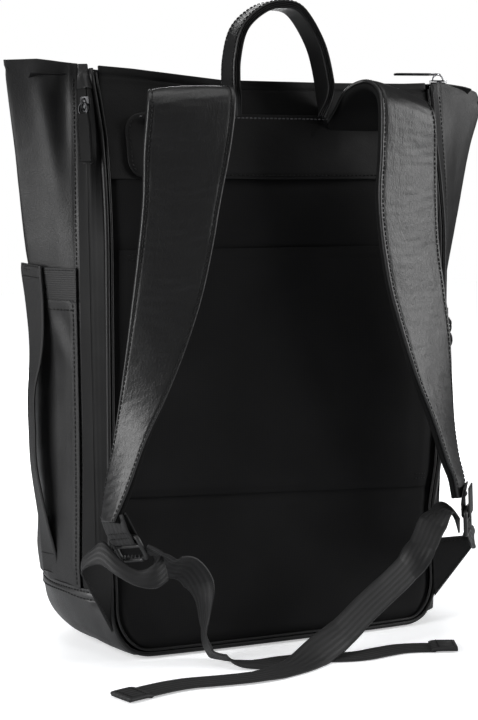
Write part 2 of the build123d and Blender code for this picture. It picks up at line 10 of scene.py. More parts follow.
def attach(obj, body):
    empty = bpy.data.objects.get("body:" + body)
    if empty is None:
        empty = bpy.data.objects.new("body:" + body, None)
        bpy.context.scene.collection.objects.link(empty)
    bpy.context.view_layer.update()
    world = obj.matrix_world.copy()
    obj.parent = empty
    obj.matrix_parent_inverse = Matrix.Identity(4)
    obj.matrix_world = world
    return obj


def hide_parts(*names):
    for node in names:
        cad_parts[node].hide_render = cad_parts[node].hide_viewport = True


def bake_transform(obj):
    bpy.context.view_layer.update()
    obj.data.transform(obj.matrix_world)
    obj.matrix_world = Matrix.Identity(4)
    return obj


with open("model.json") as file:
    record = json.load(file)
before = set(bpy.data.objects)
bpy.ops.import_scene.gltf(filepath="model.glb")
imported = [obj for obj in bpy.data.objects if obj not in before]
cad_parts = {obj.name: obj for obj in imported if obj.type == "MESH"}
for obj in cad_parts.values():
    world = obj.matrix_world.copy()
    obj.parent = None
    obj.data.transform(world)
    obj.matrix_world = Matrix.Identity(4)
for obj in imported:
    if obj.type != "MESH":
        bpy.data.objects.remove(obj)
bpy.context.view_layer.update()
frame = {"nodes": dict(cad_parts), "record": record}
MM = 0.001
TURN = 6.2832

# ---- the bag's own dimensions, in millimetres, as in the CAD ------------------------------------
BACK_Y = -67.0
SEAM_LOW_Z, SEAM_HIGH_Z = 121.0, 318.0
YOKE_LOW_Z, YOKE_HIGH_Z, YOKE_HALF = 372.0, 423.0, 128.0
BASE_SEAM_Z, TOP_Z = 54.0, 457.0
POCKET_TOP_Z, TRIM_H, POCKET_OUT = 277.0, 27.0, 5.0
RIGHT_HEM_Z = 263.0
CORNER_R = 29.0
WEBBING = 25.0
# The body's outline by height: half width and y of the padded back, then x and y of the rear seam and
# of the gusset's fold, the outward bulge in front of the fold, and y of the front wall.
Level = namedtuple("Level", "z back_x back_y seam_x seam_y fold_x fold_y bulge front_y")
LEVELS = np.array([
    (0.0, 122.0, -50.0, 132.0, -40.0, 148.0, -2.0, 4.0, 46.0),
    (14.0, 143.0, -66.0, 157.0, -50.0, 168.0, -2.0, 6.0, 60.0),
    (54.0, 146.0, -67.0, 163.0, -48.0, 175.0, -2.0, 8.0, 63.0),
    (160.0, 147.0, -67.0, 161.5, -48.0, 177.0, -4.0, 8.0, 59.0),
    (210.0, 147.5, -67.0, 162.0, -48.0, 177.0, -4.0, 8.0, 56.0),
    (250.0, 147.5, -67.0, 162.5, -48.0, 179.5, -4.0, 7.0, 50.0),
    (300.0, 148.0, -67.0, 163.0, -48.0, 191.5, -4.0, 6.0, 43.0),
    (356.0, 148.0, -64.0, 162.5, -46.0, 201.0, -9.0, 4.0, 30.0),
    (405.0, 147.4, -53.0, 160.5, -41.0, 207.0, -14.0, 3.0, 14.0),
    (457.0, 150.8, -38.0, 158.5, -34.0, 217.0, -21.0, 1.0, -5.0),
])
BACK_LINE = [(10.0, BACK_Y), (330.0, BACK_Y), (372.0, -61.0), (423.0, -48.5), (457.0, -38.0)]
# Height of the sewn top edge along the bag's width: it sags between the side wings.
TOP_EDGE = [(-213, 462), (-190, 463), (-152, 459), (-117, 457), (-41, 450), (58, 450), (123, 451), (162, 453),
            (190, 451), (205, 447), (213, 444)]


def level(z):
    """The row of LEVELS at height z, with its kinks softened."""
    rows = [[np.interp(z + dz, LEVELS[:, 0], LEVELS[:, k]) for k in range(9)] for dz in (-14, 0, 14)]
    return Level(*np.mean(rows, axis=0))


def back_y(z):
    """y of the padded back's face at height z."""
    heights, ys = zip(*BACK_LINE)
    return float(np.mean([np.interp(z + dz, heights, ys) for dz in (-12, 0, 12)]))


def top_z(x):
    """Height of the sewn top edge at x."""
    xs, zs = zip(*TOP_EDGE)
    return float(np.interp(x, xs, zs))


def zip_line(z):
    """x and y of the left zip's chain, for the side at positive x."""
    return 155.2 + 0.01 * (z - 30.0), -59.6 + 0.01125 * (z - 30.0)


# ---- node materials -----------------------------------------------------------------------------
class Graph:
    """A new material and short calls that add nodes to it."""

    def __init__(self, name):
        self.material = bpy.data.materials.new(name)
        self.material.use_nodes = True
        self.tree = self.material.node_tree
        self.shader = self.tree.nodes["Principled BSDF"]
        self.coords = self.tree.nodes.new("ShaderNodeTexCoord")

    def add(self, kind, inputs=None, **settings):
        node = self.tree.nodes.new("ShaderNode" + kind)
        for key, value in settings.items():
            setattr(node, key, value)
        for key, value in (inputs or {}).items():
            if isinstance(value, bpy.types.NodeSocket):
                self.tree.links.new(value, node.inputs[key])
            else:
                node.inputs[key].default_value = value
        return node

    def place(self, uv=False, scale=(1, 1, 1)):
        source = self.coords.outputs["UV" if uv else "Object"]
        return self.add("Mapping", {0: source, "Scale": scale}).outputs[0]

    def noise(self, where, scale, detail=3.0, rough=0.55, distortion=0.0):
        settings = {"Vector": where, "Scale": scale, "Detail": detail, "Roughness": rough,
                    "Distortion": distortion}
        return self.add("TexNoise", settings).outputs[0]

    def cells(self, where, scale):
        settings = {"Vector": where, "Scale": scale, "Randomness": 1.0}
        return self.add("TexVoronoi", settings, feature="SMOOTH_F1").outputs["Distance"]

    def wave(self, where, scale, direction, distortion):
        settings = {"Vector": where, "Scale": scale, "Distortion": distortion, "Detail": 1.0,
                    "Detail Scale": 1.5}
        return self.add("TexWave", settings, bands_direction=direction).outputs["Fac"]

    def math(self, operation, a, b=0.5):
        return self.add("Math", {0: a, 1: b}, operation=operation).outputs[0]

    def span(self, value, low, high, to_low, to_high):
        """value mapped from low-high to to_low-to_high."""
        return self.add("MapRange", {0: value, 1: low, 2: high, 3: to_low, 4: to_high}).outputs[0]

    def mix(self, factor, one, two):
        node = self.add("Mix", data_type="RGBA")
        for index, value in ((0, factor), (6, one), (7, two)):
            if isinstance(value, bpy.types.NodeSocket):
                self.tree.links.new(value, node.inputs[index])
            else:
                node.inputs[index].default_value = value
        return node.outputs[2]

    def bump(self, height, strength, distance_mm, below=None):
        inputs = {"Height": height, "Strength": strength, "Distance": distance_mm * MM}
        if below is not None:
            inputs["Normal"] = below
        return self.add("Bump", inputs).outputs[0]

    def finish(self, color, roughness, normal=None, **fixed):
        for key, value in (("Base Color", color), ("Roughness", roughness), ("Normal", normal)):
            if isinstance(value, bpy.types.NodeSocket):
                self.tree.links.new(value, self.shader.inputs[key])
            elif value is not None:
                self.shader.inputs[key].default_value = value
        for key, value in fixed.items():
            self.shader.inputs[key.replace("_", " ")].default_value = value
        return self.material


def grey(value):
    """A barely blue grey."""
    return (value, value, value * 1.04, 1.0)


def leather(name, tone, rough, grain_mm=1.5, grain=0.35, crease=0.3, specular=0.5):
    """Black leather: pebbled grain, fine creases and uneven gloss."""
    g = Graph(name)
    where = g.place()
    along = g.place(False, (1, 3, 1))
    pebbles = g.cells(where, 1000 / grain_mm)
    creases = g.noise(along, 190, 5.0, 0.62, 0.6)
    lines = g.span(g.math("ABSOLUTE", g.math("SUBTRACT", creases, 0.5)), 0.0, 0.06, 0.0, 1.0)
    soft = g.noise(where, 26, 2.0)
    low = g.bump(soft, 0.25, 3.0)
    mid = g.bump(lines, crease, 0.35, low)
    top = g.bump(pebbles, grain, 0.25, mid)
    shade = g.mix(g.span(soft, 0.35, 0.65, 0.0, 1.0), grey(tone * 0.8), grey(tone * 1.25))
    # Colour: patches of uneven tone from soft, and the fine creases painted darker, as painted shade in the
    # creases.
    color = g.mix(g.span(lines, 0.0, 1.0, 0.5, 0.0), shade, grey(tone * 0.6))
    gloss = g.math("ADD", g.span(soft, 0.3, 0.7, rough - 0.05, rough + 0.07),
                   g.span(pebbles, 0, 0.7, 0.05, -0.04))
    return g.finish(color, gloss, top, Specular_IOR_Level=specular)


def creased(name, tone, rough):
    """Strap leather: fine wrinkles along the strap over a soft unevenness.  Needs UVs in metres."""
    g = Graph(name)
    where = g.place(True)
    along = g.place(True, (0.5, 1, 1))
    pebbles = g.cells(where, 900)
    fine = g.noise(along, 700, 5.0, 0.6, 0.4)
    broad = g.noise(along, 90, 3.0)
    low = g.bump(broad, 0.35, 1.5)
    mid = g.bump(fine, 0.6, 0.4, low)
    top = g.bump(pebbles, 0.35, 0.2, mid)
    # Colour follows the fine wrinkles: lighter on their crests and darker in their troughs, as painted
    # highlight and shade.
    color = g.mix(g.span(fine, 0.35, 0.65, 0.0, 1.0), grey(tone * 0.75), grey(tone * 1.3))
    return g.finish(color, g.span(fine, 0.3, 0.7, rough + 0.06, rough - 0.05), top, Specular_IOR_Level=0.5)


def cloth(name, tone, pitch_mm, depth):
    """A fine knit or mesh: two crossing rows of ribs, with faint unevenness."""
    g = Graph(name)
    where = g.place()
    rows = g.wave(where, 1000 / pitch_mm / TURN, "Z", 1.0)
    columns = g.wave(where, 1000 / pitch_mm / TURN, "X", 1.0)
    weave = g.math("MULTIPLY", rows, columns)
    soft = g.noise(where, 18, 3.0)
    low = g.bump(soft, 0.15, 2.0)
    top = g.bump(weave, depth, 0.2, low)
    color = g.mix(g.span(soft, 0.3, 0.7, 0.0, 1.0), grey(tone * 0.8), grey(tone * 1.2))
    return g.finish(color, g.span(weave, 0, 1, 0.85, 0.85 - 0.08), top,
                    Specular_IOR_Level=0.12, Sheen_Weight=0.0, Sheen_Roughness=0.4)


def webbing(name, tone, rib_mm=4.2, depth=0.45):
    """Seat-belt webbing: ribs along it, and a herringbone that turns at each rib.  Needs UVs in metres."""
    g = Graph(name)
    uv = g.add("SeparateXYZ", {0: g.place(True)})
    u, v = uv.outputs[0], uv.outputs[1]
    rib = g.math("COSINE", g.math("MULTIPLY", v, TURN / (rib_mm * MM)))
    turn = g.math("PINGPONG", v, rib_mm * MM / 2)
    twill = g.math("SINE", g.math("MULTIPLY", g.math("ADD", u, turn), TURN / 0.0013))
    threads = g.noise(g.place(True, (1, 4, 1)), 1100, 2.0)
    low = g.bump(rib, depth, 0.25)
    mid = g.bump(twill, 0.35, 0.12, low)
    top = g.bump(threads, 0.2, 0.12, mid)
    # Colour follows the ribs and twill: lighter on their crests and darker in the grooves, as painted
    # highlight and shade.
    factor = g.math("ADD", g.span(rib, -1, 1, 0.0, 0.55), g.span(twill, -1, 1, 0.0, 0.45))
    color = g.mix(factor, grey(tone * 0.65), grey(tone * 1.25))
    return g.finish(color, g.span(rib, -1, 1, 0.66, 0.52), top, Specular_IOR_Level=0.3, Sheen_Weight=0.03)


def film(name, tone, rough):
    """Matte rubbery film over zip tape."""
    g = Graph(name)
    where = g.place()
    fine = g.noise(where, 900, 2.0)
    soft = g.noise(where, 30, 2.0)
    normal = g.bump(fine, 0.12, 0.1, g.bump(soft, 0.2, 1.0))
    color = g.mix(soft, grey(tone * 0.8), grey(tone * 1.25))
    return g.finish(color, g.span(soft, 0.3, 0.7, rough - 0.05, rough + 0.06), normal,
                    Specular_IOR_Level=0.18)


def metal(name, tone, rough):
    """Plated zinc with faint polishing lines and worn, brighter patches."""
    g = Graph(name)
    lines = g.noise(g.place(False, (1, 12, 1)), 700, 2.0)
    worn = g.noise(g.place(), 260, 3.0)
    color = g.mix(g.span(worn, 0.45, 0.7, 0, 1), grey(tone), grey(tone * 1.8))
    return g.finish(color, g.span(lines, 0.3, 0.7, rough - 0.05, rough + 0.08), g.bump(lines, 0.1, 0.05),
                    Metallic=1.0)


def plastic(name, tone, rough):
    """Moulded nylon with a fine spark-eroded texture."""
    g = Graph(name)
    fine = g.noise(g.place(), 1500, 2.0)
    soft = g.noise(g.place(), 60, 2.0)
    color = g.mix(soft, grey(tone * 0.8), grey(tone * 1.3))
    return g.finish(color, g.span(soft, 0.3, 0.7, rough, rough + 0.1), g.bump(fine, 0.15, 0.1))


def thread(name, tone):
    """Bonded thread: two twisted plies."""
    g = Graph(name)
    ply = g.wave(g.place(), 420, "DIAGONAL", 2.0)
    # The plies are painted lighter on their crests and darker between them: painted highlight and shade on
    # the twist.
    color = g.mix(ply, grey(tone * 0.6), grey(tone * 1.4))
    return g.finish(color, g.span(ply, 0, 1, 0.45, 0.6), g.bump(ply, 0.4, 0.12), Specular_IOR_Level=0.22)


PANEL = leather("panel leather", 0.008, 0.52, 1.1, 0.3, 0.14, specular=0.33)
BOOT = leather("base leather", 0.012, 0.44, 1.1, 0.3, 0.12, specular=0.5)
# Rougher, less glossy copy of the panel leather for the top facing, yoke, wing tabs and handle patches; its
# darker tone is painted shade for parts that sit in shadow.
PANEL_SHADED = leather("upper leather with painted shade", 0.0055, 0.6, 1.3, 0.2, 0.10, specular=0.2)
STRAP = creased("strap leather", 0.0065, 0.42)
EDGE = leather("rolled leather", 0.005, 0.48, 1.2, 0.12, 0.05, specular=0.3)
KNIT = cloth("back knit", 0.0068, 0.7, 0.2)
MESH = cloth("strap lining", 0.004, 1.0, 0.15)
LINING = cloth("pocket lining", 0.02, 1.4, 0.4)
WEB = webbing("webbing", 0.0105)
TRIM = webbing("pocket webbing", 0.0085, 1.7, 0.25)
FILM = film("zip film", 0.004, 0.66)
DULL = leather("pull leather", 0.003, 0.7, 1.2, 0.12, 0.05, specular=0.12)
STEEL = metal("gunmetal", 0.03, 0.34)
BRIGHT_STEEL = metal("polished zinc", 0.30, 0.2)
NYLON = plastic("nylon", 0.008, 0.42)
BOARD = plastic("board", 0.05, 0.6)
DARK_THREAD = thread("dark thread", 0.0025)
# A paler copy of the thread: a painted highlight for stitches that catch the light.
PAINTED_LIT_THREAD = thread("lit thread", 0.09)
NODE_MATERIAL = {
    "leather_panels": PANEL, "leather_straps": STRAP, "back_fabric": KNIT, "strap_lining": MESH,
    "piping_leather": EDGE, "zip_tape": FILM, "zip_metal": STEEL, "webbing": WEB, "lock_plastic": NYLON,
    "board": BOARD, "lining": LINING,
}
SLOT_OF = {row["node"]: row["material_slot"] for row in frame["record"]["subparts"]}
for node_name, node in frame["nodes"].items():
    node.data.materials.clear()
    node.data.materials.append(NODE_MATERIAL[SLOT_OF[node_name]])

# ---- mesh helpers (points in millimetres) -------------------------------------------------------
BOX_FACES = [(0, 1, 3, 2), (4, 6, 7, 5), (0, 4, 5, 1), (2, 3, 7, 6), (0, 2, 6, 4), (1, 5, 7, 3)]


def smooth_line(points, count):
    """count points on a smooth line through the given points (rows may hold any numbers)."""
    p = np.array(points, float)
    p = np.vstack([2 * p[0] - p[1], p, 2 * p[-1] - p[-2]])
    out = []
    for t in np.linspace(0, len(p) - 3 - 1e-9, count):
        i = int(t)
        f = t - i
        a, b, c, d = p[i:i + 4]
        out.append(0.5 * (2 * b + (c - a) * f + (2 * a - 5 * b + 4 * c - d) * f ** 2
                          + (3 * b - a - 3 * c + d) * f ** 3))
    return np.array(out)


def run_along(points):
    """Distance along a polyline at each of its points."""
    return np.concatenate([[0], np.cumsum(np.linalg.norm(np.diff(points, axis=0), axis=1))])


def spaced(points, step):
    """Points at an even spacing along a polyline."""
    p = np.array(points, float)
    run = run_along(p[:, :3])
    count = max(int(round(run[-1] / step)), 2) + 1
    at = np.linspace(0, run[-1], count)
    return np.array([np.interp(at, run, p[:, k]) for k in range(p.shape[1])]).T


def rounded(points, count, reach):
    """count even points along a polyline whose corners are rounded over about reach mm."""
    line = spaced(points, 1.0)
    kernel = np.exp(-0.5 * (np.arange(-12, 13) / reach) ** 2)
    line = np.vstack([2 * line[0] - line[12:0:-1], line, 2 * line[-1] - line[-2:-14:-1]])
    soft = np.column_stack([np.convolve(line[:, k], kernel / kernel.sum(), "valid") for k in range(3)])
    run = run_along(soft)
    at = np.linspace(0, run[-1], count)
    return np.column_stack([np.interp(at, run, soft[:, k]) for k in range(3)])


def unit(v):
    """v, or each row of it, at length 1."""
    v = np.asarray(v, float)
    return v / np.maximum(np.linalg.norm(v, axis=-1, keepdims=True), 1e-9)


def round_edges(obj, width, segments, **limit):
    """A bevel of width millimetres on the edges of obj."""
    cut = obj.modifiers.new("edges", "BEVEL")
    cut.width, cut.segments = width * MM, segments
    for key, value in limit.items():
        setattr(cut, key, value)


def piece(name, verts, faces, material, body, slot=None, uvs=None, bevel=0.0):
    """A mesh object from points in millimetres."""
    mesh = bpy.data.meshes.new(name)
    mesh.from_pydata([tuple(v) for v in np.array(verts) * MM], [], faces)
    if uvs is not None:
        layer = mesh.uv_layers.new(name="UVMap")
        index = np.array([loop.vertex_index for loop in mesh.loops])
        layer.data.foreach_set("uv", (np.array(uvs)[index] * MM).astype(np.float32).ravel())
    mesh.materials.append(material)
    mesh.polygons.foreach_set("use_smooth", [True] * len(mesh.polygons))
    mesh.validate()
    obj = bpy.data.objects.new(name, mesh)
    bpy.context.scene.collection.objects.link(obj)
    if bevel:
        round_edges(obj, bevel, 2, limit_method="ANGLE", angle_limit=math.radians(50))
    if body:
        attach(obj, body)
    return obj


def normals_of(grid):
    """Outward normals of a grid of points, by central differences."""
    across = np.gradient(grid, axis=1)
    along = np.gradient(grid, axis=0)
    return unit(np.cross(across, along))


def grid_faces(rows, columns, start, flip):
    """Four-sided faces between the neighbours of a grid."""
    faces = []
    for i in range(rows - 1):
        for j in range(columns - 1):
            a = start + i * columns + j
            quad = (a, a + 1, a + columns + 1, a + columns)
            faces.append(quad[::-1] if flip else quad)
    return faces


def sheet(name, grid, thick, material, body="root", slot=None, relief=None, flip=False, bevel=0.5,
          turn_uv=False):
    """A closed sheet: the grid is its outer face, thick is how far it goes inward.

    relief is a grid of heights that is added along the normal.  flip is for a grid whose normal
    points inward.  turn_uv is for a grain that runs along the grid's rows.
    """
    sign = -1.0 if flip else 1.0
    normal = normals_of(grid) * sign
    outer = grid if relief is None else grid + normal * relief[..., None]
    normal = normals_of(outer) * sign
    inner = outer - normal * thick
    rows, columns = grid.shape[:2]
    count = rows * columns
    faces = grid_faces(rows, columns, 0, flip) + grid_faces(rows, columns, count, not flip)
    border = list(range(columns))
    border += [i * columns + columns - 1 for i in range(1, rows)]
    border += [(rows - 1) * columns + j for j in range(columns - 2, -1, -1)]
    border += [i * columns for i in range(rows - 2, 0, -1)]
    for a, b in zip(border, border[1:] + border[:1]):
        quad = (b, a, a + count, b + count)
        faces.append(quad[::-1] if flip else quad)
    across = np.cumsum(np.linalg.norm(np.diff(grid, axis=1), axis=2), axis=1)
    up = np.cumsum(np.linalg.norm(np.diff(grid, axis=0), axis=2), axis=0)
    u = np.concatenate([np.zeros((rows, 1)), across], axis=1)
    v = np.concatenate([np.zeros((1, columns)), up])
    uvs = np.stack([u.ravel(), v.ravel()] if turn_uv else [v.ravel(), u.ravel()], axis=1)
    verts = np.concatenate([outer.reshape(-1, 3), inner.reshape(-1, 3)])
    obj = piece(name, verts, faces, material, body, slot, np.concatenate([uvs, uvs]), bevel)
    return obj, outer, normal


def ring_sweep(rings):
    """Faces that join rings of equal size and close both ends."""
    size, faces = len(rings[0]), []
    for i in range(len(rings) - 1):
        for k in range(size):
            a, b = i * size + k, i * size + (k + 1) % size
            faces.append((a, b, b + size, a + size))
    last = (len(rings) - 1) * size
    return faces + [tuple(range(size))[::-1], tuple(last + k for k in range(size))]


def frames_along(path):
    """A steady pair of cross directions for every point of a path."""
    along = unit(np.gradient(path, axis=0))
    side = np.cross(along[0], (0, 0, 1) if abs(along[0][2]) < 0.9 else (0, 1, 0))
    sides = []
    for direction in along:
        side = unit(side - direction * np.dot(side, direction))
        sides.append(side)
    sides = np.array(sides)
    return sides, np.cross(along, sides)


def tube(name, path, radius, material, body="root", slot=None, sides=10):
    """A round cord along a path of points."""
    path = np.array(path, float)
    one, two = frames_along(path)
    turn = np.linspace(0, 2 * math.pi, sides, endpoint=False)
    rings = [p + radius * (np.outer(np.cos(turn), a) + np.outer(np.sin(turn), b))
             for p, a, b in zip(path, one, two)]
    return piece(name, np.concatenate(rings), ring_sweep(rings), material, body, slot)


def band(name, left, right, thick, material, body="root", slot=None, crown=0.0, samples=140, lift=0.0,
         columns=None, relief=None, body_taper=1.0):
    """A strip between two smooth edge lines, with rounded edges and a crowned middle.

    Returns the object, its middle points, its across directions, normals and half widths.  columns
    are places across it, -1 to 1; relief(u, a) is a height in mm over its outer face.
    """
    a, b = smooth_line(left, samples), smooth_line(right, samples)
    middle = (a + b) / 2
    across = unit(b - a)
    half = np.linalg.norm(b - a, axis=1) / 2
    along = unit(np.gradient(middle, axis=0))
    normal = unit(np.cross(across, along))
    run = run_along(middle)
    columns = np.linspace(-1, 1, 15) if columns is None else np.array(columns)
    rings, uvs = [], []
    for i in range(samples):
        edge = np.clip((np.abs(columns) - (1 - thick / (2 * half[i]))) / (thick / (2 * half[i])), 0, 1)
        round_off = np.sqrt(np.maximum(1 - edge ** 2, 0.0))
        high = lift + thick / 2 * round_off + crown * (1 - columns ** 2)
        if relief is not None:
            high = high + np.array([relief(run[i], c) for c in columns]) * round_off
        low = lift - thick / 2 * round_off + crown * (1 - columns ** 2) * (1 - body_taper)
        top = middle[i] + np.outer(columns * half[i], across[i]) + np.outer(high, normal[i])
        under = middle[i] + np.outer(columns * half[i], across[i]) + np.outer(low, normal[i])
        rings.append(np.concatenate([top, under[::-1][1:-1]]))
        v = np.concatenate([columns * half[i], columns[::-1][1:-1] * half[i]])
        uvs += [(run[i], width) for width in v]
    obj = piece(name, np.concatenate(rings), ring_sweep(rings), material, body, slot, uvs)
    return obj, middle, across, normal, half


def stitches(name, points, normals, material, body="root", slot=None, pitch=3.6, length=2.5, radius=0.55,
             sink=0.05):
    """A row of sewn stitches: small rounded beads that lie along a line on a surface."""
    line = spaced(np.hstack([np.array(points, float), np.array(normals, float)]), pitch)
    p, n = line[:, :3], unit(line[:, 3:])
    verts, faces = [], []
    shape = [(-0.5, 0.35), (-0.36, 0.9), (0.0, 1.1), (0.36, 0.9), (0.5, 0.35)]
    turn = np.linspace(0, 2 * math.pi, 6, endpoint=False)
    for a, b, up_a, up_b in zip(p, p[1:], n, n[1:]):
        along, up = unit(b - a), unit(up_a + up_b)
        side = unit(np.cross(along, up))
        middle = (a + b) / 2 + up * (radius * 0.5 - sink)
        start = len(verts)
        for place, share in shape:
            for angle in turn:
                verts.append(middle + along * place * length
                             + (side * math.cos(angle) + up * math.sin(angle)) * radius * share)
        rings = [verts[start + 6 * k:start + 6 * k + 6] for k in range(len(shape))]
        faces += [tuple(start + index for index in face[::-1]) for face in ring_sweep(rings)]
    return piece(name, verts, faces, material, body, slot)


def swirl(point, scale, seed=0.0):
    """Smooth noise between about -1 and 1 at a point in mm; scale is the size of its patches."""
    return noise.noise(Vector((point[0] / scale + seed, point[1] / scale, point[2] / scale)))


def unevenness(grid, parts):
    """Relief for a grid: a sum of (patch size, height, seed) noises."""
    flat = grid.reshape(-1, 3)
    total = [sum(h * swirl(p, size, seed) for size, h, seed in parts) for p in flat]
    return np.array(total).reshape(grid.shape[:2])


def dent(grid, middle, reach, height, slant=0.0):
    """Relief of one soft bump or hollow: middle and reach are in the grid's own 0-1 coordinates."""
    rows, columns = grid.shape[:2]
    t, s = np.meshgrid(np.linspace(0, 1, rows), np.linspace(0, 1, columns), indexing="ij")
    ds, dt = s - middle[0], t - middle[1]
    a = (ds * math.cos(slant) + dt * math.sin(slant)) / reach[0]
    b = (-ds * math.sin(slant) + dt * math.cos(slant)) / reach[1]
    return height * np.exp(-(a ** 2 + b ** 2))


def bell(offset, width):
    """1 where offset is 0, falling to nothing over about two widths."""
    return np.exp(-(offset / width) ** 2)


def fade(value, width):
    """0 at value 0 or less, 1 from width on, smooth between."""
    x = np.clip(np.asarray(value, float) / width, 0, 1)
    return x * x * (3 - 2 * x)


def box_piece(name, size, place, axes, material, body, slot, bevel):
    """A block with rounded edges: its size along its own axes, and where it stands."""
    x, y, z = np.array(size) / 2
    corners = [(sx * x, sy * y, sz * z) for sx in (-1, 1) for sy in (-1, 1) for sz in (-1, 1)]
    verts = [np.array(place) + sum(c * np.array(axis) for c, axis in zip(corner, axes)) for corner in corners]
    faces = BOX_FACES
    if np.dot(np.cross(axes[0], axes[1]), axes[2]) < 0:
        faces = [face[::-1] for face in faces]
    obj = piece(name, verts, faces, material, body, slot)
    round_edges(obj, bevel, 3)
    return obj


# ---- how the bag has slumped ----------------------------------------------------------------------
def settle(points):
    """Points moved as the soft bag stands: its back bellies at the foot and its right foot draws in."""
    p = np.array(points, float)
    x, y, z = p[..., 0].copy(), p[..., 1].copy(), p[..., 2].copy()
    rear = np.clip((-28.0 - y) / 37.0, 0, 1)
    draw = np.interp(z, (0, 50, 105, 140, 190), (9.0, 8.5, 8.0, 2.5, 0.0))
    p[..., 0] = x - draw * fade(x - 60.0, 80.0) * np.interp(y, (-45, 0, 40), (1.0, 0.35, 0.0))
    round_x = np.sqrt(np.clip(1 - (x / 152.0) ** 2, 0, 1))
    p[..., 1] = y - 14.0 * np.sqrt(round_x) * fade(110.0 - z, 110.0) * rear
    drop = np.interp(z, (4, 16, 60), (0.8, 1.0, 0.0)) * np.interp(z, (0, 10), (0.0, 7.5)) * rear
    tilt = 0.04 * x * bell(z - 121.0, 60.0) * fade(-50.0 - y, 10.0)
    p[..., 2] = np.maximum(z - drop - tilt, 0.15)
    return p


# ---- padded back --------------------------------------------------------------------------------
def half_width(z, half, low, radius):
    """Half width of an outline with rounded lower corners."""
    down = max(low + radius - z, 0.0)
    return half - (radius - math.sqrt(max(radius ** 2 - down ** 2, 0.0)))


def padded_back():
    low, high, half = 13.0, YOKE_LOW_Z + 1, 144.6
    zs = np.concatenate([low + 34 * (1 - np.cos(np.linspace(0, math.pi / 2, 22))),
                         np.linspace(48, high, 150)])
    ss = np.sin(np.linspace(-math.pi / 2, math.pi / 2, 91))
    grid = np.array([[(s * half_width(z, half, low - 0.5, CORNER_R), back_y(z), z) for s in ss] for z in zs])
    edge = np.minimum(half - np.abs(grid[..., 0]), grid[..., 2] - low)
    corner = np.array([[half_width(z, half, low - 0.5, CORNER_R) * (1 - abs(s)) for s in ss] for z in zs])
    rim = fade(np.minimum(edge, corner), 9.0)
    seams = np.ones(grid.shape[:2])
    for z in (SEAM_LOW_Z, SEAM_HIGH_Z, YOKE_LOW_Z - 1):
        seams = np.minimum(seams, fade(np.abs(grid[..., 2] - z), 11.0))
    relief = 2.4 * rim + 1.1 * seams - 3.2 + unevenness(grid, [(70, 0.5, 1.0), (26, 0.18, 5.0)])
    back, *_ = sheet("padded_back", settle(grid), 6.0, KNIT, slot="back_fabric", relief=relief, bevel=0)
    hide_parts("back_panel")


padded_back()


def luggage_sleeve():
    zs = np.linspace(SEAM_LOW_Z, SEAM_HIGH_Z, 110)
    xs = np.linspace(-139, 139, 100)
    grid = np.array([[(x, back_y(z) - 1.2, z) for x in xs] for z in zs])
    edge_x = fade(139 - np.abs(grid[..., 0]), 8.0)
    edge_z = fade(np.minimum(grid[..., 2] - SEAM_LOW_Z, SEAM_HIGH_Z - grid[..., 2]), 7.0)
    hem = bell(grid[..., 2] - SEAM_HIGH_Z + 9.0, 1.2)
    relief = 1.3 * edge_x * edge_z - 1.5 * (1 - edge_x) - 0.35 * hem
    relief += unevenness(grid, [(80, 0.55, 3.0), (30, 0.18, 9.0)]) * edge_x * edge_z
    sleeve, outer, normal = sheet("sleeve_cloth", settle(grid), 1.3, KNIT, slot="back_fabric", relief=relief,
                                  bevel=0.4)
    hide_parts("luggage_sleeve")
    for name, z, columns in (("tack_high", SEAM_HIGH_Z - 7, range(2, 9)),
                             ("tack_low", SEAM_LOW_Z + 7, range(94, 99))):
        row = int(np.argmin(np.abs(zs - z)))
        for k, up in enumerate((0, 2)):
            points = [outer[row + up, c] for c in columns]
            stitches(f"{name}_{k}", points, [normal[row, c] for c in columns], DARK_THREAD,
                     slot="back_fabric", pitch=3.0, length=2.3, radius=0.45)


luggage_sleeve()


def u_path(half, low, radius, y, drop=0.0):
    """A U in the X-Z plane: down one side, round two corners and up the other."""
    turn = np.linspace(0, math.pi / 2, 24)[1:]

    def leg(side):
        points = []
        for z in np.linspace(min(TOP_Z - 1, top_z(side * half) - 2.5) - drop, low + radius, 60):
            narrow = np.interp(z, (330, 405, 457), (0.0, 1.2, -2.2))
            points.append((side * (half - narrow), back_y(z) + y, z))
        return points + [(side * (half - radius + radius * math.cos(a)), BACK_Y + y,
                          low + radius - radius * math.sin(a))
                         for a in turn]

    bottom = [(x, BACK_Y + y, low) for x in np.linspace(half - radius, radius - half, 60)[1:-1]]
    return settle(leg(1) + bottom + leg(-1)[::-1])


def piping():
    cord = tube("piping_cord", u_path(148.6, 10.2, CORNER_R + 2, -0.2), 1.9, EDGE, slot="piping_leather",
                sides=14)
    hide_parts("piping")
    tube("piping_welt", u_path(144.9, 14.0, CORNER_R - 1, -0.9, 3.0), 1.1, EDGE, slot="piping_leather",
         sides=8)


piping()


# ---- leather above the padding ------------------------------------------------------------------
def top_facing():
    zs = np.linspace(0, 1, 60)
    xs = np.linspace(-144.4, 144.4, 100)
    grid = np.array([[(x, back_y(YOKE_LOW_Z + (top_z(x) - YOKE_LOW_Z) * t),
                       YOKE_LOW_Z + (top_z(x) - YOKE_LOW_Z) * t)
                      for x in xs] for t in zs])
    drop = np.array([[top_z(x) for x in xs]]) - grid[..., 2]
    hem = np.where(drop < 6.0, 0.7, 0.0) - 0.8 * bell(drop - 6.5, 0.9)
    relief = hem + unevenness(grid, [(60, 1.0, 2.0), (25, 0.3, 8.0)]) * fade(drop, 20) - 0.4
    # The facing takes the darker upper leather, painted shade.
    facing, *_ = sheet("top_facing", grid, 2.4, PANEL_SHADED, slot="leather_panels", relief=relief)
    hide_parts("top_back_panel")


top_facing()


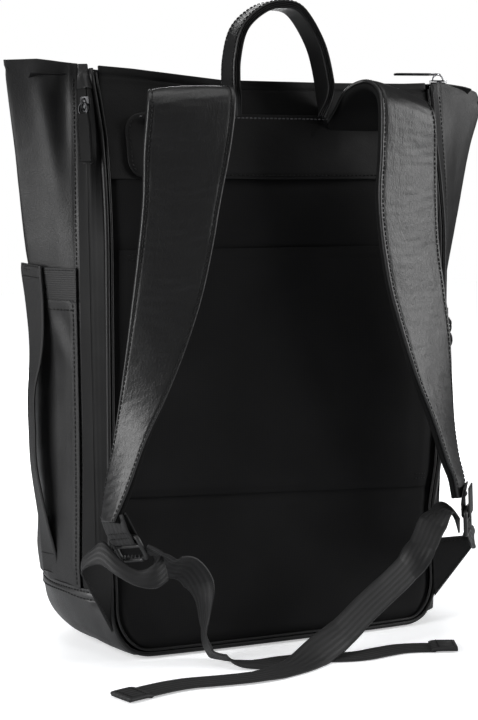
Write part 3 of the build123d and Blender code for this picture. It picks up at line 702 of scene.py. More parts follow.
def yoke():
    radius = 15.0
    zs = np.linspace(YOKE_LOW_Z, YOKE_HIGH_Z, 46)
    ss = np.linspace(-1, 1, 121)

    def half(z):
        down = max(YOKE_LOW_Z + radius - z, z - (YOKE_HIGH_Z - radius), 0.0)
        return YOKE_HALF + 0.5 - (radius - math.sqrt(max(radius ** 2 - down ** 2, 0.0)))

    grid = np.array([[(s * half(z), back_y(z) - 2.6, z) for s in ss] for z in zs])
    edge = np.minimum(np.minimum(grid[..., 2] - YOKE_LOW_Z, YOKE_HIGH_Z - grid[..., 2]),
                      np.array([[half(z) * (1 - abs(s)) for s in ss] for z in zs]))
    groove = -0.5 * bell(edge - 3.0, 0.9)
    relief = (0.8 * fade(edge, 3.0) + groove
              + unevenness(grid, [(32, 0.5, 12.0), (12, 0.15, 3.0)]) * fade(edge, 12))
    # The yoke takes the darker upper leather as painted shade from the straps.
    leaf, *_ = sheet("yoke_band", grid, 2.2, PANEL_SHADED, slot="leather_panels", relief=relief, bevel=0.7)
    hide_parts("yoke")
    # The upper row of stitches gets the paler thread as a painted highlight.
    for name, z, thread_tone in (("yoke_stitch_low", YOKE_LOW_Z + 3, DARK_THREAD),
                                 ("yoke_stitch_high", YOKE_HIGH_Z - 3, PAINTED_LIT_THREAD)):
        reach = half(z) - 6
        points = [(x, back_y(z) - 3.1, z) for x in np.linspace(-reach, reach, 90)]
        stitches(name, points, [(0, -1, -0.25)] * 90, thread_tone, slot="leather_panels")
    for side in (-1, 1):
        arc = [(side * (half(z) - 3.2), back_y(z) - 3.1, z)
               for z in np.linspace(YOKE_LOW_Z + 6, YOKE_HIGH_Z - 6, 40)]
        stitches(f"yoke_stitch_end_{'left' if side < 0 else 'right'}", arc, [(0, -1, -0.25)] * 40,
                 DARK_THREAD, slot="leather_panels")


yoke()


# ---- gussets, front and base --------------------------------------------------------------------
def gusset_points(side, z, out=0.0, tuck=(0.5, 1.0), front=(149.0, 0.0), count=72):
    """A gusset's outline at height z, from its rear seam round its fold to its front seam."""
    _, _, _, seam_x, seam_y, fold_x, fold_y, bulge, front_y = level(z)
    if side > 0:
        fold_x -= 7.0 * max(z - 443.0, 0.0) ** 2 / 200.0
    points = [(seam_x + tuck[0], seam_y + tuck[1]),
              (seam_x * 0.6 + fold_x * 0.4 + out * 0.7, seam_y * 0.6 + fold_y * 0.4 - 1.5 - out * 0.3),
              (fold_x + out, fold_y),
              ((fold_x + 149.0) / 2 + bulge + out, (fold_y + front_y) / 2 + bulge * 0.4 + 0.6 * out),
              (front[0], front_y + front[1])]
    return rounded([(side * x, y, z) for x, y in points], count, 2.6)


def gusset(side):
    name = "left" if side < 0 else "right"
    rows = []
    for t in np.linspace(0, 1, 110):
        line = gusset_points(side, BASE_SEAM_Z + 0.4 + (TOP_Z - BASE_SEAM_Z - 0.4) * t)
        line[:, 2] += [(top_z(x) - TOP_Z) * fade(t - 0.7, 0.3) for x in line[:, 0]]
        rows.append(line)
    grid = np.array(rows)
    relief = unevenness(grid, [(90, 0.9, 20.0 + side), (34, 0.3, 4.0), (12, 0.12, 2.0), (6, 0.06, 3.0)])
    if side < 0:
        relief += (dent(grid, (0.10, 0.92), (0.07, 0.08), -3.4, 0.25)
                   + dent(grid, (0.20, 0.88), (0.05, 0.12), 1.8, -0.6))
        relief += (dent(grid, (0.12, 0.66), (0.09, 0.10), 0.9)
                   + dent(grid, (0.15, 0.45), (0.06, 0.05), -0.9, 0.5))
    else:
        relief += dent(grid, (0.2, 0.8), (0.09, 0.2), -0.8, -0.2)
    edge = np.linspace(0, 1, 72) * 115
    relief *= fade(edge, 9.0)[None, :]
    relief -= 0.6 * bell(edge - 3.0, 0.9)[None, :]
    drop = (1 - np.linspace(0, 1, 110)) * 403
    relief += np.where(drop < 7, 0.6, 0.0)[:, None] - 0.6 * bell(drop - 8, 1.2)[:, None]
    leaf, outer, normal = sheet(f"side_leather_{name}", settle(grid), 2.2, PANEL, slot="leather_panels",
                                relief=relief, flip=side < 0)
    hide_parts(f"gusset_{name}")
    stitches(f"gusset_stitch_{name}", outer[1:-3, 2], normal[1:-3, 2], DARK_THREAD, slot="leather_panels")


gusset(-1)
gusset(1)


def front_wall():
    xs = np.linspace(-148, 148, 90)
    grid = np.array([[(x,
                       level(BASE_SEAM_Z + (top_z(x) - BASE_SEAM_Z) * t).front_y
                       + 5 * (1 - (x / 148) ** 2) - 0.5,
                       48.0 + (top_z(x) - 48.0) * t) for x in xs]
                     for t in np.linspace(0, 1, 100)])
    edge = fade(148 - np.abs(xs), 8.0)[None, :]
    relief = unevenness(grid, [(110, 1.6, 40.0), (40, 0.6, 7.0)]) * edge - 1.0
    relief -= 0.6 * bell(148 - np.abs(xs) - 3.2, 0.9)[None, :]
    wall, outer, normal = sheet("front_leather", grid, 2.2, PANEL, slot="leather_panels", relief=relief,
                                flip=True)
    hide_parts("front_panel")
    for name, column in (("left", 1), ("right", 88)):
        stitches(f"front_stitch_{name}", outer[1:-3, column], normal[1:-3, column], DARK_THREAD,
                 slot="leather_panels")


front_wall()


def base():
    # Half width, lowest z, corner radius and y, from back to front.
    stations = [(147.5, 7.6, 30.0, -65.6), (150.5, 6.2, 33.0, -64.0), (156.0, 4.0, 39.0, -57.5),
                (162.0, 2.0, 44.0, -48.0), (170.0, 0.4, 47.0, -28.0), (175.0, 0.2, 47.0, -4.0),
                (172.0, 0.2, 45.0, 24.0), (160.0, 0.6, 42.0, 47.0), (152.0, 3.0, 40.0, 58.0),
                (149.0, 8.0, 36.0, 62.4), (148.0, 20.0, 26.0, 63.6), (147.6, 36.0, 12.0, 63.4),
                (147.4, 50.0, 2.0, 63.0)]
    line = smooth_line(stations, 64)
    turn = np.linspace(0, math.pi / 2, 18)
    rows = []
    for half, low, radius, y in line:
        low = max(low, 0.15)
        radius = min(radius, BASE_SEAM_Z - low - 1)
        right = [(half, y, z) for z in np.linspace(BASE_SEAM_Z, low + radius, 12)[:-1]]
        right += [(half - radius + radius * math.cos(a), y, low + radius - radius * math.sin(a))
                  for a in turn]
        flat = [(x, y, low) for x in np.linspace(half - radius, radius - half, 50)[1:-1]]
        rows.append(right + flat + [(-x, yy, z) for x, yy, z in right[::-1]])
    grid = settle(rows)
    grooves = bell(BASE_SEAM_Z - grid[..., 2] - 3.0, 0.9) + bell(BASE_SEAM_Z - grid[..., 2] - 8.5, 0.9)
    hem = 1.5 * fade(grid[..., 2] - (BASE_SEAM_Z - 12.0), 1.5)
    relief = unevenness(grid, [(45, 0.8, 31.0), (16, 0.25, 6.0)]) - 0.6 * grooves + hem
    relief = relief * fade(grid[..., 2], 6.0)
    boot, outer, normal = sheet("base_leather", grid, 2.0, BOOT, slot="leather_panels", relief=relief,
                                bevel=0.5)
    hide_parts("base_boot")
    for name, order in (("left", slice(None, -13, -1)), ("right", slice(12))):
        for k, drop in enumerate((3.0, 8.5)):
            points, tilt = [], []
            for row, lean in zip(outer[10:60, order], normal[10:60, order]):
                rising = np.argsort(row[:, 2])
                for source, target in ((row, points), (lean, tilt)):
                    target.append([np.interp(BASE_SEAM_Z - drop, row[rising, 2], source[rising, c])
                                   for c in range(3)])
            stitches(f"base_stitch_{name}_{k}", points, tilt, DARK_THREAD, slot="leather_panels")


base()


# ---- zip strip, slider and pull on the left; plain strip on the right ---------------------------
def strip_point(side, share, z):
    """A point on the strip between the piping (share 0) and the gusset's seam (share 1)."""
    row = level(z)
    ends = np.array([(row.back_x + 1.8, back_y(z) + 1.8), (row.seam_x + 0.4, row.seam_y + 0.6)])
    sunk = float(fade(z - 434.0, 20.0) if side < 0 else fade(z - 240.0, 120.0))
    middle = np.array(zip_line(z)) * (1 - sunk) + ends.mean(axis=0) * sunk
    x, y = smooth_line([ends[0], middle, ends[1]], 41)[int(round(share * 40))]
    return side * x, y, z


def side_strips():
    zs = np.concatenate([np.linspace(44, 430, 150), np.linspace(433, 459, 14)])
    for name, low, high in (("zip_lip_rear", 0.0, 0.475), ("zip_lip_side", 0.525, 1.0)):
        shares = np.linspace(low, high, 12)
        grid = np.array([[strip_point(-1, s, z) for s in shares] for z in zs])
        lip = 0.8 - 0.35 * bell(shares - 0.32, 0.022)
        relief = np.repeat(lip[None, :], len(zs), axis=0) + unevenness(grid, [(40, 0.25, 15.0)])
        part, *_ = sheet(name, grid, 1.3, FILM, slot="zip_tape", relief=relief, flip=True, bevel=0.3)
        if name == "zip_lip_side":
            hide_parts("zip_strip_left")
    cap = np.array([[strip_point(-1, s, z) for s in np.linspace(0.02, 0.98, 16)]
                    for z in np.linspace(440, 459.5, 16)])
    sheet("zip_end_cap", cap, 1.4, PANEL, slot="leather_panels", relief=np.full((16, 16), 1.6), flip=True)
    grid = np.array([[strip_point(1, s, z) for s in np.linspace(0, 1, 20)]
                     for z in np.linspace(17, 452, 150)])
    relief = unevenness(grid, [(40, 0.5, 25.0)]) + 0.6
    part, *_ = sheet("side_strip_leather", settle(grid), 2.0, PANEL, slot="leather_panels", relief=relief)
    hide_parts("side_strip_right")


side_strips()


def local_axes(up, out):
    """Axes of a zip: up the chain, across it, and away from the bag."""
    up = unit(up)
    out = unit(np.array(out) - up * np.dot(out, up))
    return up, np.cross(out, up), out


def slider(name, place, axes, size, body, material):
    """A zip slider: a waisted lower plate, an upper plate, a neck between them, and a bridge."""
    slot = "zip_metal"
    up, across, out = axes
    length, width, height = size
    place = np.array(place)
    outline = [(-0.5, 0.62), (-0.42, 0.8), (-0.15, 0.86), (0.1, 1.0), (0.38, 1.0), (0.5, 0.8)]
    loop = [(a * length, w * width / 2) for a, w in outline]
    loop += [(a * length, -w * width / 2) for a, w in outline[::-1]]
    verts, faces = [], []
    for low, high in ((0.2, 1.0), (1.8, 2.7)):
        start = len(verts)
        for z in (low, high):
            verts += [place + up * a + across * w + out * z for a, w in loop]
        faces += [tuple(start + index for index in face[::-1]) for face in ring_sweep([loop, loop])]
    plates = piece(name, verts, faces, material, body, slot, bevel=0.35)
    crest = [(-0.36, 2.4), (-0.3, 0.72 * height), (-0.12, height), (0.12, height), (0.3, 0.72 * height),
             (0.36, 2.4)]
    arch = [place + up * a * length + out * z for a, z in crest]
    tube(name + "_bridge", smooth_line(arch, 18), 0.85, material, body, slot, 8)
    box_piece(name + "_neck", (length * 0.3, width * 0.3, 1.2), place + up * length * 0.1 + out * 1.4,
              (up, across, out), material, body, slot, 0.2)
    return plates


def pull_ring(name, place, axes, length, width, body, material):
    """A wire loop that hangs from the bridge."""
    up, across, _ = axes
    turn = np.linspace(0, 2 * math.pi, 29)
    loop = [np.array(place) - up * (length / 2 - 1.2 - length / 2 * math.cos(a))
            + across * width / 2 * math.sin(a)
            for a in turn]
    return tube(name, loop, 0.8, material, body, "zip_metal", 8)


def left_zip():
    z_top = 428.0
    x, y = zip_line(z_top)
    out = (-0.785, -0.62, 0)
    axes = local_axes((-0.01, 0.01125, 1), out)
    up, across, away = axes
    place = np.array((-x, y, z_top)) + np.array(out) * 1.4
    body = slider("laptop_slider", place, axes, (12, 8.4, 6.2), "left_slider", STEEL)
    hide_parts("left_slider")
    pin = place + away * 4.9
    pull_ring("laptop_pull_ring", pin - away * 0.4, axes, 10, 7.5, "left_pull", STEEL)
    tab_top = pin - up * 7.0
    leaf = [(tab_top - up * d - away * min(d * 0.09, 2.6)) for d in (0, 8, 18, 30, 36)]
    half = [5.2, 6.5, 6.5, 6.5, 6.3]
    tab, middle, side, normal, width = band(
        "laptop_pull_tab", [p - across * h for p, h in zip(leaf, half)],
        [p + across * h for p, h in zip(leaf, half)], 1.9, DULL, "left_pull", "piping_leather", samples=40)
    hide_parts("left_pull")
    for k in (-1, 1):
        line = middle[4:-3] + side[4:-3] * (width[4:-3, None] - 1.7) * k
        facing = normal[4:-3] * np.sign(np.dot(normal[10], away))
        stitches(f"laptop_pull_stitch_{k + 1}", line + facing * 0.95, facing, DARK_THREAD, "left_pull",
                 "piping_leather", pitch=2.6, length=1.9, radius=0.32)
    chain = [np.array(strip_point(-1, 0.5, z)) + np.array(out) * -0.1 for z in np.linspace(60, 424, 120)]
    coil = tube("laptop_zip_coil", chain, 0.9, FILM, "root", "zip_tape", 8)
    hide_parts("left_zip_chain")
    frame_line = [(0.30, 441.0), (0.30, 384.0), (0.72, 384.0), (0.72, 441.0), (0.30, 441.0)]
    corners = [np.array(strip_point(-1, s, z)) + np.array(out) * 1.4 for s, z in frame_line]
    for k in (1, 3):
        tube(f"zip_garage_edge_{k}", np.linspace(corners[k], corners[k + 1], 12), 0.7, EDGE, "root",
             "piping_leather", 8)


left_zip()


# ---- side pockets -------------------------------------------------------------------------------
def pocket(side, top, name, node):
    heights, outs = (54, 75, 106, 160, 210, 247, 304), (2.5, 4.0, 3.5, 6.5, 6.0, 3.5, 2.0)
    grid = np.array([gusset_points(side, z, np.interp(z, heights, outs), (3.2, 2.0), (154.0, 2.0), 60)
                     for z in np.linspace(BASE_SEAM_Z - 1, top, 90)])
    relief = unevenness(grid, [(70, 1.3, 50.0 + side), (26, 0.4, 14.0)])
    relief += (dent(grid, (0.14, 0.84), (0.10, 0.05), 1.6, 0.5)
               + dent(grid, (0.14, 0.93), (0.08, 0.05), -1.8, 0.4))
    relief += dent(grid, (0.13, 0.55), (0.09, 0.16), -1.4) + dent(grid, (0.2, 0.25), (0.12, 0.12), 1.2)
    edge = np.linspace(0, 1, 60) * 95
    relief *= fade(edge, 8.0)[None, :]
    relief += 0.7 * fade(edge, 1.0)[None, :] - 0.5 * bell(edge - 3.2, 0.9)[None, :]
    leaf, outer, normal = sheet(name, settle(grid), 1.8, PANEL, slot="leather_panels", relief=relief,
                                flip=side < 0)
    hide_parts(node)
    stitches(name + "_stitch", outer[1:-1, 2], normal[1:-1, 2], DARK_THREAD, slot="leather_panels")
    row = -3 if side > 0 else -4
    stitches(name + "_hem_stitch", outer[row, 2:30], normal[row, 2:30], DARK_THREAD, slot="leather_panels")
    return outer, normal


pocket(-1, POCKET_TOP_Z + 2, "left_pocket", "side_pocket_left")
pocket(1, RIGHT_HEM_Z, "right_pocket", "side_pocket_right")


def trim_band():
    grid = np.array([gusset_points(-1, z, 3.2, (3.4, 1.6), (154.5, 2.6), 60)
                     for z in np.linspace(POCKET_TOP_Z, POCKET_TOP_Z + TRIM_H, 16)])
    relief = np.full(grid.shape[:2], 0.6) + unevenness(grid, [(40, 0.4, 60.0)])
    leaf, outer, normal = sheet("pocket_band", grid, 1.5, TRIM, slot="webbing", relief=relief, flip=True,
                                bevel=0.5, turn_uv=True)
    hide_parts("pocket_trim")
    for k, row in enumerate((1, 14)):
        stitches(f"pocket_band_stitch_{k}", outer[row, 1:40], normal[row, 1:40], DARK_THREAD, slot="webbing",
                 pitch=3.0, length=2.2, radius=0.32)


trim_band()


def grab_strap():
    rear = [(-186.5, -23, 305), (-186, -23, 297), (-184.5, -22, 276), (-185, -22, 250), (-187.5, -22, 231),
            (-193, -22, 206), (-193, -22, 175), (-192, -22, 147), (-184, -22, 106), (-177, -20, 80),
            (-172, -18, 59)]
    front = [(-195.5, 1.5, 307), (-195.5, 1.5, 299), (-192.5, 2, 277), (-190, 2, 250), (-189.5, 2, 229),
             (-191, 2, 200),
             (-190.5, 2, 172), (-189, 2, 143), (-183.5, 2, 102), (-181.5, 3, 78), (-180, 4, 60)]
    strap, middle, across, normal, _ = band("grab_strap", rear, front, 2.0, TRIM, "root", "webbing",
                                            samples=110)
    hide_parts("side_handle")
    facing = normal * np.sign(np.dot(normal[50], (-1, 0, 0)))
    for k, (low, high) in enumerate(((2, 12), (100, 109))):
        for i in (low, high):
            row = [middle[i] + across[i] * w + facing[i] for w in np.linspace(-10, 10, 12)]
            stitches(f"grab_strap_tack_{k}_{i}", row, [facing[i]] * 12, DARK_THREAD, slot="webbing",
                     pitch=2.6, length=2.0, radius=0.35)


grab_strap()


def right_fold(z):
    """x and y of the right pocket's fold at height z."""
    row = level(z)
    return row.fold_x + POCKET_OUT, row.fold_y


def right_zip():
    hi, lo = right_fold(250.0), right_fold(80.0)
    up = np.array((hi[0] - lo[0], hi[1] - lo[1], 170.0))
    axes = local_axes(up, (1, 0, 0))
    up, across, out = axes

    def on_fold(share, z):
        return np.array((lo[0] + (hi[0] - lo[0]) * share + 2.0, lo[1] + (hi[1] - lo[1]) * share, z))

    place = on_fold((246.0 - 80.0) / 170.0, 246.0) + out * 1.8
    body = slider("pocket_slider", place, axes, (11, 8, 6.0), "right_slider", STEEL)
    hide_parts("right_slider")
    pin = place + out * 4.2
    ring = pull_ring("pocket_pull_link", pin, axes, 9, 7, "right_pull", STEEL)
    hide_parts("right_pull")
    turn = np.linspace(0, 2 * math.pi, 31)
    centre = pin - up * 14.5 - out * 0.8
    loop = [centre + up * 6.4 * math.cos(a) + across * 6.4 * math.sin(a) for a in turn]
    tube("pocket_pull_ring", loop, 1.2, STEEL, "right_pull", "zip_metal", 10)
    base = np.array([on_fold(s, 80 + 170 * s) for s in np.linspace(-0.04, 1.05, 90)]) + out * 0.6
    half = 4.6
    lips, *_ = band("pocket_zip_tape", base - across * half, base + across * half, 1.3, FILM,
                                             "root", "zip_tape", samples=90)
    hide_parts("right_zip_chain")
    tube("pocket_zip_coil", base + out * 0.9, 1.0, NYLON, "root", "zip_tape", 8)


right_zip()


# ---- shoulder straps ----------------------------------------------------------------------------
STRAPS = {
    "left": [
        ((-112, -50.5, 416), (-60, -50.5, 418)), ((-115, -64, 425), (-60.5, -65, 427)),
        ((-121, -82, 434), (-59.5, -84, 437.5)), ((-127, -97, 434.5), (-59.5, -103, 438.5)),
        ((-130, -103.5, 422), (-62, -112, 425)), ((-132, -101.5, 392), (-66.5, -113, 394)),
        ((-132.5, -100, 356), (-74, -112, 356)), ((-136, -99, 319), (-81, -112, 319)),
        ((-140.5, -98, 282), (-90, -112, 282)), ((-145, -97, 246), (-103, -113, 246)),
        ((-149.5, -95, 209), (-118, -114, 212)), ((-154, -92.5, 172), (-136, -115.5, 178)),
        ((-160.5, -92.5, 140), (-150.2, -116, 143)), ((-163.2, -95, 115), (-161, -114, 118)),
    ],
    "right": [
        ((112, -50.5, 414), (45, -51.5, 415)), ((112, -62, 424), (47, -62, 426)),
        ((112.3, -74, 430), (50.5, -75, 442)), ((112.8, -85, 432), (59.5, -86, 448.5)),
        ((114, -97.5, 430), (62.5, -100, 444)),
        ((116.5, -103, 418), (60.5, -113.5, 430.5)), ((121, -97.5, 390), (60, -115, 395)),
        ((124, -94, 356), (58.5, -115, 356)), ((127.5, -92, 319), (63.5, -114, 317)),
        ((134, -91, 282), (71, -113, 284)), ((140, -90, 246), (82, -113, 250)),
        ((142.5, -90, 209), (95, -114, 214)), ((145, -90, 172), (111, -115, 178)),
        ((147.5, -93, 145), (124.5, -113.5, 145)), ((151, -95, 129), (132.5, -112, 129)),
        ((154, -96, 111), (137.5, -110, 112)),
    ],
}


def shoulder_strap(name):
    side = -1 if name == "left" else 1
    outer_edge, inner_edge = zip(*STRAPS[name])
    left, right = (inner_edge, outer_edge) if side < 0 else (outer_edge, inner_edge)
    columns = np.concatenate([[-1, -0.985, -0.96], np.linspace(-0.93, 0.93, 45), [0.96, 0.985, 1]])
    seed = 3.0 * side

    def relief(u, a):
        edge = 1 - abs(a)
        groove = -0.6 * math.exp(-((edge - 0.105) / 0.03) ** 2)
        waves = 0.5 * swirl((u, a * 16, 0), 24, seed) + 0.3 * swirl((u * 2.2, a * 14, 0), 9, seed + 5)
        return groove + waves * min(edge / 0.2, 1.0)

    leaf, middle, across, normal, half = band(
        f"shoulder_strap_{name}", left, right, 2.6, STRAP, f"strap_{name}", "leather_straps", crown=1.6,
        samples=330, lift=1.0, columns=columns, relief=relief)
    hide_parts(f"strap_{name}_face")
    pad, *_ = band(f"strap_padding_{name}", left, right, 5.4, MESH, f"strap_{name}", "strap_lining",
                   crown=1.0, samples=200, lift=-2.4, columns=np.linspace(-1, 1, 23))
    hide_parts(f"strap_{name}_pad")
    for k in (-1, 1):
        line = middle + across * (half * 0.895)[:, None] * k + normal * (1.0 + 1.3 + 0.3 - 0.35)
        stitches(f"strap_stitch_{name}_{'outer' if k * side < 0 else 'inner'}", line[3:], normal[3:],
                 DARK_THREAD, f"strap_{name}", "leather_straps", pitch=3.7, length=2.9, radius=0.5)


shoulder_strap("left")
shoulder_strap("right")


# ---- ladder locks, keepers, wing tabs and adjusters -----------------------------------------------
LOCKS = {
    "left": ((-149.0, -105.0, 100.0), (0.46, 0.02, -0.888), (0.42, -0.88, 0.20)),
    "right": ((151.5, -105.0, 92.0), (0.06, 0.02, -0.998), (-0.62, -0.78, -0.053)),
}


def lock_axes(name):
    centre, down, across = (np.array(v) for v in LOCKS[name])
    up = -unit(down)
    centre = centre - up * (5.0 if name == "left" else 0.0)
    bar = unit(across - up * np.dot(across, up))
    return centre, bar, up, np.cross(bar, up)


def ladder_lock(name):
    centre, bar, up, out = lock_axes(name)
    body = f"strap_{name}"

    def rod(label, ends, radius):
        return tube(f"lock_{name}_{label}", np.linspace(ends[0], ends[1], 9), radius, NYLON, body,
                    "lock_plastic", 12)

    loop = smooth_line([centre + bar * x * 0.98 + up * y for x, y in
                        ((0, -9.6), (11, -9.6), (13.7, -7), (13.7, 0), (13.7, 7), (11, 9.4), (0, 9.6),
                         (-11, 9.4), (-13.7, 7), (-13.7, 0), (-13.7, -7), (-11, -9.6), (0, -9.6))], 90)
    whole = tube(f"lock_{name}_frame", loop, 1.9, NYLON, body, "lock_plastic", 12)
    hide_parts(f"ladder_lock_{name}")
    rod("middle_bar", (centre - bar * 13.4 + up * 1.6, centre + bar * 13.4 + up * 1.6), 1.6)
    lip = [centre - bar * 11 - up * 9.8 + out * 1.6, centre + bar * 11 - up * 9.8 + out * 1.6]
    rod("lip", lip, 1.5)
    for k in range(5):
        at = centre + bar * (-8 + 4 * k) - up * 5.2
        box_piece(f"lock_{name}_rib_{k}", (1.0, 4.4, 1.6), at + out * 0.9 - up * 2.6, (bar, up, out), NYLON,
                  body, "lock_plastic", 0.3)


def keeper(name):
    centre, bar, up, out = lock_axes(name)
    height = 3.0
    turn = np.linspace(-math.pi / 2, math.pi / 2, 9)
    path = [centre + up * d - out * height for d in (29.0, 17.5, 12.5, 9.0)]
    path += [centre + up * (6.6 - 2.4 * math.cos(a)) + out * height * math.sin(a) for a in turn]
    path += [centre + up * d + out * (height - max(d - 18, 0) * 0.2) for d in (9.0, 12.5, 18.5, 30.0)]
    leaf, *_ = band(
        f"keeper_web_{name}", [p - bar * 12.2 for p in path], [p + bar * 12.2 for p in path], 1.5, WEB,
        f"strap_{name}", "webbing", samples=70)
    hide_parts(f"keeper_{name}")
    for k, d in enumerate((11.0, 15.5)):
        row = [centre + up * d + bar * w + out * (height + 0.8) for w in np.linspace(-10, 10, 12)]
        stitches(f"keeper_tack_{name}_{k}", row, [out] * 12, DARK_THREAD, f"strap_{name}", "webbing",
                 pitch=2.4, length=1.9, radius=0.36)


def wing_tab(name):
    side = -1 if name == "left" else 1
    seam_x, tip_x, fall = (-148.5, -177.0, 0.0) if side < 0 else (139.0, 172.5, 9.0)
    seam = [(seam_x, -70.6 - 0.5 * fall, 22.0), (seam_x, -70.6, 80.0 - fall)]
    tip = [(tip_x, -82.0, 73.0 - fall), (tip_x - 2.0 * side, -82.0, 86.0 - 1.4 * fall)]
    low, high = np.linspace(seam[0], tip[0], 7), np.linspace(seam[1], tip[1], 7)
    # The wing tab takes the darker upper leather as painted shade under the adjuster webbing.
    leaf, middle, across, normal, half = band(f"wing_leather_{name}", low, high, 2.6, PANEL_SHADED, "root",
                                              "leather_panels", samples=50)
    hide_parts(f"wing_tab_{name}")
    for sign in (-1, 1):
        for k in (-1, 1):
            line = middle[4:-3] + across[4:-3] * (half[4:-3, None] - 2.6) * k + normal[4:-3] * 1.35 * sign
            stitches(f"wing_stitch_{name}_{k + 1}_{sign + 1}", line, normal[4:-3] * sign, DARK_THREAD, "root",
                     "leather_panels")


ADJUSTERS = {
    "left": [((-175, -83, 87), (-177, -84, 76)), ((-171, -90, 94), (-175, -92, 81)),
             ((-164, -97, 100.5), (-168, -101, 84)), ((-154, -109, 88), (-160.5, -112, 78)),
             ((-143, -117, 81), (-147.5, -119.5, 70)), ((-132.5, -121, 86), (-133, -123, 67)),
             ((-126, -117, 93), (-121, -119.5, 71))],
    "right": [((172.5, -83, 76), (172, -83, 65)), ((168.5, -89, 80), (166, -95, 65)),
              ((164, -94.5, 84), (157.5, -103, 67)), ((160.5, -97, 86), (150, -112, 73)),
              ((158, -96.5, 90), (145, -112, 84))],
}


def adjuster(name):
    left, right = zip(*ADJUSTERS[name])
    leaf, *_ = band(f"adjuster_web_{name}", left, right, 1.6, WEB, None, "webbing", crown=1.2, samples=60,
                    body_taper=0.0, columns=np.linspace(-1, 1, 17))
    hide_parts(f"adjuster_{name}")
    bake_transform(leaf)


for side_name in ("left", "right"):
    ladder_lock(side_name)
    keeper(side_name)
    wing_tab(side_name)
    adjuster(side_name)

# ---- free webbing tails -------------------------------------------------------------------------
# Each tail's route, as in the CAD, with the direction of the webbing's width at each point.
TAILS = {
    "left": [
        ((-136.0, -112.0, 95.0), (0.42, -0.88, 0.2)), ((-126.0, -116.0, 92.0), (-0.1, -0.93, 0.3)),
        ((-117.0, -114.0, 80.0), (0.15, -0.6, 0.75)), ((-102.0, -110.0, 78.0), (0.28, -0.5, 0.8)),
        ((-90.0, -107.0, 64.0), (0.44, -0.6, 0.7)), ((-85.5, -105.0, 44.0), (0.1, -0.99, 0.0)),
        ((-86.0, -103.5, 24.0), (-0.26, -0.97, 0.0)), ((-82.0, -107.0, 7.0), (0.0, -1.0, 0.1)),
        ((-72.0, -121.0, 3.5), (0.5, -0.8, 0.2)), ((-52.0, -132.0, 3.5), (-0.1, -1.0, 0.0)),
        ((-28.0, -129.0, 3.5), (-0.1, -1.0, 0.0)), ((0.0, -133.0, 3.5), (0.2, -1.0, 0.0)),
        ((28.0, -144.0, 3.5), (0.1, -1.0, 0.0)), ((54.0, -139.0, 3.5), (-0.1, -1.0, 0.0)),
        ((76.0, -137.0, 3.5), (0.1, -1.0, 0.0)), ((96.0, -146.0, 3.5), (0.4, -1.0, 0.0)),
    ],
    "right": [
        ((146.0, -101.0, 87.0), (0.62, 0.78, 0.05)), ((139.0, -102.0, 100.0), (0.5, 0.85, 0.0)),
        ((127.0, -106.0, 104.0), (0.45, 0.88, 0.15)), ((114.0, -111.0, 94.0), (-0.15, 0.75, 0.6)),
        ((103.0, -115.0, 76.0), (-0.3, 0.85, 0.42)), ((86.0, -120.0, 60.0), (-0.5, 0.1, 0.85)),
        ((64.0, -125.0, 47.0), (-0.6, 0.05, 0.8)), ((42.0, -129.0, 34.0), (-0.6, 0.1, 0.75)),
        ((20.0, -135.0, 19.0), (-0.55, 0.2, 0.8)), ((-4.0, -142.0, 9.5), (-0.4, 0.6, 0.7)),
        ((-30.0, -153.0, 3.5), (-0.2, 1.0, 0.2)), ((-62.0, -162.0, 3.5), (0.0, 1.0, 0.0)),
        ((-95.0, -159.0, 3.5), (0.1, 1.0, 0.0)), ((-130.0, -153.0, 3.5), (0.1, 1.0, 0.0)),
        ((-161.0, -163.0, 3.5), (-0.45, 0.9, 0.0)),
    ],
}


def nurbs_points(points):
    """Points along one NURBS spline with these control points, in metres."""
    curve = bpy.data.curves.new("route", "CURVE")
    curve.dimensions = "3D"
    spline = curve.splines.new("NURBS")
    spline.points.add(len(points) - 1)
    for target, point in zip(spline.points, points):
        target.co = (*[c * MM for c in point], 1.0)
    spline.order_u = 3
    spline.use_endpoint_u = True
    spline.resolution_u = 14
    holder = bpy.data.objects.new("route", curve)
    bpy.context.scene.collection.objects.link(holder)
    mesh = bpy.data.meshes.new_from_object(holder)
    line = np.array([v.co for v in mesh.vertices])
    bpy.data.objects.remove(holder)
    bpy.data.meshes.remove(mesh)
    return line


